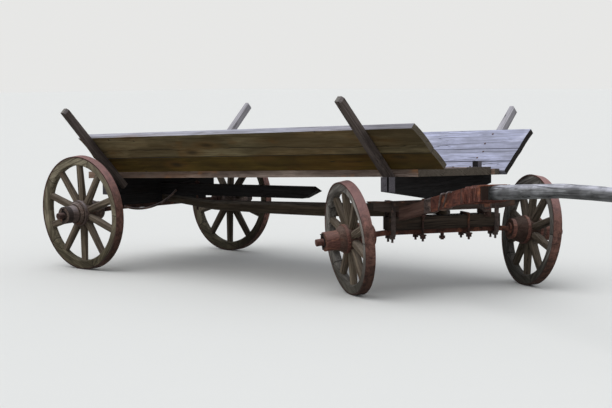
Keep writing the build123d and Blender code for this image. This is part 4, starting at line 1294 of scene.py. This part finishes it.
@dataclass
class FrontGear:
    """The steered gear: axle, sand bolster, hounds, pole and their irons.

    Args:
        body: the body it is.
        sheet: how thick the sheet iron on the hounds is.
        sheath: the share of a hound's rising length where its sheathing starts and ends.
        hoops: where a collar and rings sit on it, as shares, each with its lean forward, its width, how far
            it stands off and how thick it is.
        wraps: where wide wraps start and end along the pole, with how far their far side slips ahead.
        wires: where turns of wire sit along the pole, each with its lean forward.
        sheath_room: how much wider the hoops are for the sheathing under them.
        nose_rise: how far the hounds rise along the pole for each metre ahead.
        wrap_room: how far off the hounds' sides and edges the wraps' middle is.
        wrap_thickness: how thick the wraps are.
        wire_room: how far off the hounds' sides and edges the wires' middle is.
        wire_thickness: how thick the wires are.
        rounding: how round the loops' corners are, as a share of their smaller half.
        nail: the head of the sheathing's nails.
        nail_shares: where the sheathing's nails sit, as shares of the rising length.
        nail_rise: how far above and below the hound's middle they sit.
        shaded_nose: how far ahead of the king bolt the painted shade on a hound's nose is full, and where it
            starts.
        pole_start: where the pole's grain starts.
        pole_rise: how far the pole rises for each metre ahead.
        pole_shade: how far from there the pole is black with painted shade, and where that has faded.
        shade_share: how dark the painted shade makes the left hound's wood.
    """

    body: str = "front_gear"
    sheet: float = 0.0024
    sheath: tuple[float, float] = (0.5, 1.0)
    hoops: tuple[tuple[float, float, float, float, float], ...] = (
        (0.485, 0.0, 0.058, 0.004, 0.004), (0.7, 0.022, 0.013, 0.011, 0.009),
        (0.785, 0.034, 0.013, 0.012, 0.009))
    wraps: tuple[tuple[float, float, float], ...] = ((0.578, 0.646, 0.006), (0.684, 0.738, -0.005),
                                                     (0.742, 0.784, 0.007))
    wires: tuple[tuple[float, float], ...] = ((0.595, 0.012), (0.607, -0.008), (0.628, 0.01), (0.7, -0.012),
                                              (0.716, 0.008), (0.77, 0.01))
    sheath_room: float = 0.003
    nose_rise: float = 0.14
    wrap_room: tuple[float, float] = (0.0045, 0.005)
    wrap_thickness: float = 0.003
    wire_room: tuple[float, float] = (0.0095, 0.0105)
    wire_thickness: float = 0.0045
    rounding: float = 0.22
    nail: NailHead = NailHead(0.007, 0.003)
    nail_shares: tuple[float, ...] = (0.58, 0.64, 0.92)
    nail_rise: float = 0.026
    shaded_nose: tuple[float, float] = (0.8, 0.778)
    pole_start: tuple[float, float, float] = (0.83, 0.0, 0.77)
    pole_rise: float = 0.07
    pole_shade: tuple[float, float] = (0.02, 0.11)
    shade_share: float = 0.62

    def matrix(self) -> Matrix:
        """Finds the turn and place from the gear's own frame to the wagon's.

        Returns:
            The turn and place.
        """
        ahead = front_gear_ahead()
        king = Vector(joint("steering")["pos_m"])
        king.z = 0.0
        return Matrix.Translation(king) @ Matrix((ahead, UP.cross(ahead), UP)).transposed().to_4x4()

    def dress_packed(self) -> None:
        """Gives the gear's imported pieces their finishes."""
        ahead = front_gear_ahead()
        across = UP.cross(ahead)
        dress("front_axle_bed", SHADED_AXLE_TIMBER, across, seed=1.3)
        dress("sand_bolster", SAND_TIMBER, across, seed=2.3)
        dress("front_axle_iron", ARM_IRON, across)
        for node in ("linchpin_front_right", "linchpin_front_left"):
            dress(node, DARK_IRON, across)
        for node in ("wear_plate_lower", "axle_ubolts", "sway_straps"):
            dress(node, FORGED_IRON, ahead)
        dress("axle_straps", STRAP_IRON, ahead)
        dress("hound_bands", CLAMP_IRON, ahead)
        start = Placement(self.matrix() @ Vector(self.pole_start), ahead + self.pole_rise * UP, seed=6.2)
        # The pole's root is darkened with painted shade
        cover("pole", POLE_WOOD.material("pole_finish", start, self.pole_shade))

    def dress_hound(self, line: HoundLine, node: str, finish: WeatheredWood, seed: float) -> None:
        """Gives one hound its wood, darkened at its nose with painted shade.

        Args:
            line: the hound's line.
            node: the hound.
            finish: its wood.
            seed: which pattern it gets.
        """
        matrix = self.matrix()
        leaning = (matrix.to_3x3() @ (line.rising(1.0) - line.rising(0.0))).normalized()
        nose = tuple((matrix @ line.along_pole(ahead) - middle_of(node)).dot(leaning)
                     for ahead in self.shaded_nose)
        dress(node, finish, leaning, seed=seed, shade=nose)

    def loop(self, middle: Vector, half_width: float, half_depth: float, lean: float) -> list[Vector]:
        """Returns the corners of a rounded loop around timbers, upright across the gear.

        Args:
            middle: the middle of the loop.
            half_width: half its width.
            half_depth: half its depth.
            lean: how far its top reaches ahead of its foot.

        Returns:
            The corners in order.
        """
        corner = min(half_width, half_depth) * self.rounding
        outline = []
        for across, upwards in ((-1, 1), (1, 1), (1, -1), (-1, -1)):
            y, z = across * half_width, upwards * half_depth
            pair = [Vector((0, y, z - upwards * corner)), Vector((0, y - across * corner, z))]
            outline += pair if across * upwards < 0 else pair[::-1]
        return [middle + point + Vector((lean * point.z / half_depth, 0, 0)) for point in outline]

    def add(self, name: str, parts: list[bpy.types.Object], iron: RustedIron, middle: Vector,
            seed: float) -> None:
        """Joins new irons into one piece, in its place on the gear.

        Args:
            name: the piece's name.
            parts: its irons, in the gear's own frame.
            iron: their finish.
            middle: the middle of its pattern, in the gear's own frame.
            seed: which pattern it gets.
        """
        whole = joined_as(name, parts)
        settle(whole, self.matrix())
        place = Placement(self.matrix() @ middle, front_gear_ahead(), seed=seed)
        finish_piece(whole, self.body, iron.material(name + "_finish", place))

    def sheathing(self, line: HoundLine) -> bpy.types.Object:
        """Models the sheet iron folded over the outside of a hound's rising length.

        Args:
            line: the hound's line.

        Returns:
            The sheathing, in the gear's own frame.
        """
        low, high = (line.rising(share) for share in self.sheath)
        depth, width = line.half_depth + self.sheet, line.half_width + self.sheet
        lip = -0.5 * line.half_width
        section = [Vector((0, line.side * across, upwards))
                   for across, upwards in ((lip, depth), (width, depth), (width, -depth), (lip, -depth))]
        middle = (low + high) / 2
        corners = [middle + corner for corner in section]
        piece = ribbon("hound_sheathing", corners, high - low, self.sheet, soft=0.0006)
        crumple(piece, size=0.045, depth=0.003, cuts=3)
        return piece

    def hound_irons(self, line: HoundLine, name: str) -> None:
        """Makes one hound's sheathing with its nails.

        Args:
            line: the hound's line.
            name: the piece's name.
        """
        outwards = Vector((0, line.side, 0))
        face = outwards * (line.half_width + 1.4 * self.sheet)
        heads = [(line.rising(share) + face + up * UP, outwards)
                 for share in self.nail_shares for up in (-self.nail_rise, self.nail_rise)]
        parts = [self.sheathing(line), self.nail.scatter(name + "_nails", heads)]
        self.add(name, parts, CLAMP_IRON, line.rising(0.8), 3.0 + line.side)

    def hound_hoops(self, line: HoundLine, name: str) -> None:
        """Makes the wide collar on one hound, and the loose rings ahead of it.

        Args:
            line: the hound's line.
            name: the piece's name.
        """
        parts = []
        along = (line.rising(1.0) - line.rising(0.0)).normalized()
        for share, lean, width, stand_off, thickness in self.hoops:
            half = line.half_width + self.sheath_room + stand_off
            corners = self.loop(line.rising(share), half, line.half_depth + stand_off, lean)
            hoop = ribbon("hoop", corners, along * width, thickness, closed=True)
            crumple(hoop, size=0.03, depth=0.002, cuts=1)
            parts.append(hoop)
        self.add(name, parts, SLEEVE_IRON, line.rising(0.7), 5.0 + line.side)

    def pole_wraps(self, line: HoundLine) -> None:
        """Makes the wide wraps that clamp both hounds to the pole between the bands, and their wires.

        Args:
            line: the line of either hound.
        """
        parts = []
        side, edge = abs(line.bend[1]) + line.half_width, line.half_depth
        for start, end, slip in self.wraps:
            middle = line.beside_pole((start + end) / 2)
            corners = self.loop(middle, side + self.wrap_room[0], edge + self.wrap_room[1], slip)
            width = (end - start) * (AHEAD + self.nose_rise * UP)
            wrap = ribbon("wrap", corners, width, self.wrap_thickness, closed=True)
            crumple(wrap, size=0.035, depth=0.0035, cuts=2)
            parts.append(wrap)
        for ahead, lean in self.wires:
            middle = line.beside_pole(ahead)
            corners = self.loop(middle, side + self.wire_room[0], edge + self.wire_room[1], lean)
            width = self.wire_thickness * AHEAD
            wire = ribbon("wire", corners, width, self.wire_thickness, closed=True, soft=0.0014)
            crumple(wire, size=0.05, depth=0.004, cuts=1)
            parts.append(wire)
        self.add("pole_wraps", parts, CLAMP_IRON, line.along_pole(0.68), 8.4)

    def build(self) -> None:
        """Dresses the gear and adds its irons."""
        self.dress_packed()
        bed_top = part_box("front_axle_bed")[1][2]
        lines = {"right": HoundLine(-1, bed_top), "left": HoundLine(1, bed_top)}
        self.dress_hound(lines["right"], "hound_right", HOUND_WOOD, 4.1)
        # The left hound gets a darker copy of its wood: painted shade
        self.dress_hound(lines["left"], "hound_left", shaded_copy(HOUND_WOOD, self.shade_share), 5.1)
        for side, line in lines.items():
            self.hound_irons(line, "hound_irons_" + side)
            self.hound_hoops(line, "hound_hoops_" + side)
        self.pole_wraps(lines["right"])


class RearGear:
    """The fixed running gear: rear axle, bolsters, reach, spine beam and stay."""

    def build(self) -> None:
        """Dresses the gear's pieces."""
        for seed, node in enumerate(("rear_axle_bed", "rear_bolster", "front_bolster")):
            dress(node, SHADED_BED_TIMBER, LEFT, seed=seed + 7.7)
        dress("spine_beam", SHADED_BED_TIMBER, AHEAD, seed=9.4)
        dress("reach", REACH_WOOD, AHEAD, seed=10.6)
        for node in ("reach_bolt", "king_bolt", "wear_plate_upper"):
            dress(node, FORGED_IRON, AHEAD)
        for node in ("linchpin_rear_right", "linchpin_rear_left"):
            dress(node, DARK_IRON, LEFT)
        dress("rear_stay", SLEEVE_IRON, LEFT)
        dress("rear_axle_iron", FORGED_IRON, LEFT)


@dataclass
class Bed:
    """The load bed: floor planks, leaning boards, stakes and the stop cleat.

    Args:
        body: the body it is part of.
        lean: the boards' lean from the upright, in radians.
        half_width: half the floor's width.
        rear_height: the top of the rear bolster.
        slope: how far the bed rises towards the front, in radians.
        roll: how far it has settled to its left, in radians.
        stake_places: where the rear and front stakes stand, ahead of the rear bolster.
        bolster_places: where the bolsters are under the floor.
        floor_rows: each plank's right edge, left edge and thickness.
        board_rows: for each side, its foot and its planks' low edge, high edge, thickness and cup.
        nail: the head of the bed's nails.
        floor_nail_gap: how far apart two nails of a floor plank sit along the wagon.
        floor_nail_spread: how far apart they sit across the plank, as a share of its width.
        board_nail_gap: how far apart two nails of a board's plank sit along the wagon.
        board_nail_spread: how far apart they sit across the plank, as a share of its width.
        nail_depth: how deep the heads are driven in.
        rise: how far the grain of the bed rises for each metre ahead.
        darker_front: where along the near boards' outside the darkening towards the front is full, and where it
            has faded.
    """

    body: str = "wagon_body"
    lean: float = math.radians(45)
    half_width: float = 0.47
    rear_height: float = 0.6681
    slope: float = math.radians(2.411)
    roll: float = math.radians(2.2)
    stake_places: tuple[float, float] = (0.054, 2.7685)
    bolster_places: tuple[float, float] = (0.0, 2.8325)
    floor_rows: tuple[tuple[float, float, float], ...] = (
        (-0.47, -0.194, 0.053), (-0.191, 0.082, 0.051), (0.085, 0.375, 0.056), (0.378, 0.435, 0.042))
    board_rows: tuple[tuple[int, float, tuple[tuple[float, float, float, float], ...]], ...] = (
        (-1, 0.048, ((0.0, 0.15, 0.041, 0.005), (0.153, 0.373, 0.044, 0.009))),
        (1, 0.0, ((0.0, 0.092, 0.041, 0.002), (0.095, 0.217, 0.042, 0.003), (0.22, 0.41, 0.042, 0.005))))
    nail: NailHead = NailHead(0.0075, 0.003)
    floor_nail_gap: float = 0.03
    floor_nail_spread: float = 0.56
    board_nail_gap: float = 0.022
    board_nail_spread: float = 0.5
    nail_depth: float = 0.0005
    rise: float = 0.04
    darker_front: tuple[float, float] = (1.5, 0.9)

    def up_side(self, side: int) -> Vector:
        """Returns the direction up a leaning board or stake, on side -1 for the right or 1 for the left."""
        return Vector((0, side * math.sin(self.lean), math.cos(self.lean)))

    def matrix(self) -> Matrix:
        """Finds the turn and place from the bed's own sloping frame to the wagon's.

        Returns:
            The turn and place.
        """
        right, left = (Vector(joint("wheel_rear_" + side + "_turn")["pos_m"]) for side in ("right", "left"))
        middle = (right + left) / 2
        middle.z = self.rear_height
        level = Matrix.Translation(middle) @ Matrix.Rotation(-self.slope, 4, "Y")
        return level @ Matrix.Rotation(-self.roll, 4, "X")

    def nail_places(self) -> list[tuple[Vector, Vector]]:
        """Lists where the bed's nails are driven.

        Returns:
            Where each head sits and which way it faces, in the bed's own frame.
        """
        places = []
        for low, high, thickness in self.floor_rows:
            for x in self.bolster_places:
                for half in (-0.5, 0.5):
                    y = low + (0.5 + half * self.floor_nail_spread) * (high - low)
                    spot = Vector((x + half * self.floor_nail_gap, y, thickness - self.nail_depth))
                    places.append((spot, UP))
        for side, foot, rows in self.board_rows:
            up_board = self.up_side(side)
            inwards = Vector((0, -side * up_board.z, abs(up_board.y)))
            for low, high, thickness, cup in rows:
                for x in self.stake_places:
                    for half in (-0.5, 0.5):
                        spot = Vector((x + half * self.board_nail_gap, side * (self.half_width + foot), foot))
                        spot += up_board * (low + (0.5 + half * self.board_nail_spread) * (high - low))
                        places.append((spot + inwards * (thickness + 0.75 * cup - self.nail_depth), inwards))
        return places

    def nails(self) -> None:
        """Drives the nails that hold the floor to the bolsters and the boards to the stakes."""
        heads = self.nail.scatter("bed_nails", self.nail_places())
        settle(heads, self.matrix())
        place = Placement(middle_of("floor_plank_right"))
        finish_piece(heads, self.body, FORGED_IRON.material("bed_nails_finish", place))

    def dress_packed(self) -> None:
        """Gives the bed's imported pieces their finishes."""
        ahead = AHEAD + self.rise * UP
        for seed, plank in enumerate(("right", "inner_right", "inner_left", "left")):
            dress("floor_plank_" + plank, FLOOR_WOOD, ahead, seed=seed + 12.2)
        dress("stop_cleat", SHADED_BED_TIMBER, ahead, seed=17.0)
        dress("side_boards_right", BOARD_OUTER, ahead, self.up_side(-1), seed=18.3, shade=self.darker_front)
        dress("side_boards_left", BOARD_INNER, ahead, self.up_side(1), seed=20.9)
        for seed, (stake, side, finish) in enumerate((
                ("front_right", -1, STAKE_NEAR), ("rear_right", -1, STAKE_NEAR), ("front_left", 1, STAKE_FAR),
                ("rear_left", 1, STAKE_FAR))):
            dress("stake_" + stake, finish, self.up_side(side), AHEAD, seed=seed + 23.5)

    def build(self) -> None:
        """Dresses the bed and drives its nails."""
        self.dress_packed()
        self.nails()


def main() -> None:
    """Builds the camera, the studio and the wagon's looks in order."""
    logging.basicConfig(level=logging.INFO, format="%(name)s: %(message)s")
    bpy.context.scene.view_settings.view_transform = "Standard"
    ViewCamera().build()
    Studio().build()
    for number, wheel in enumerate(("rear_right", "rear_left", "front_right", "front_left")):
        Wheel("wheel_" + wheel, 1.0 + number * 2.3).build()
    RearGear().build()
    FrontGear().build()
    Bed().build()


if __name__ == "__main__":
    main()
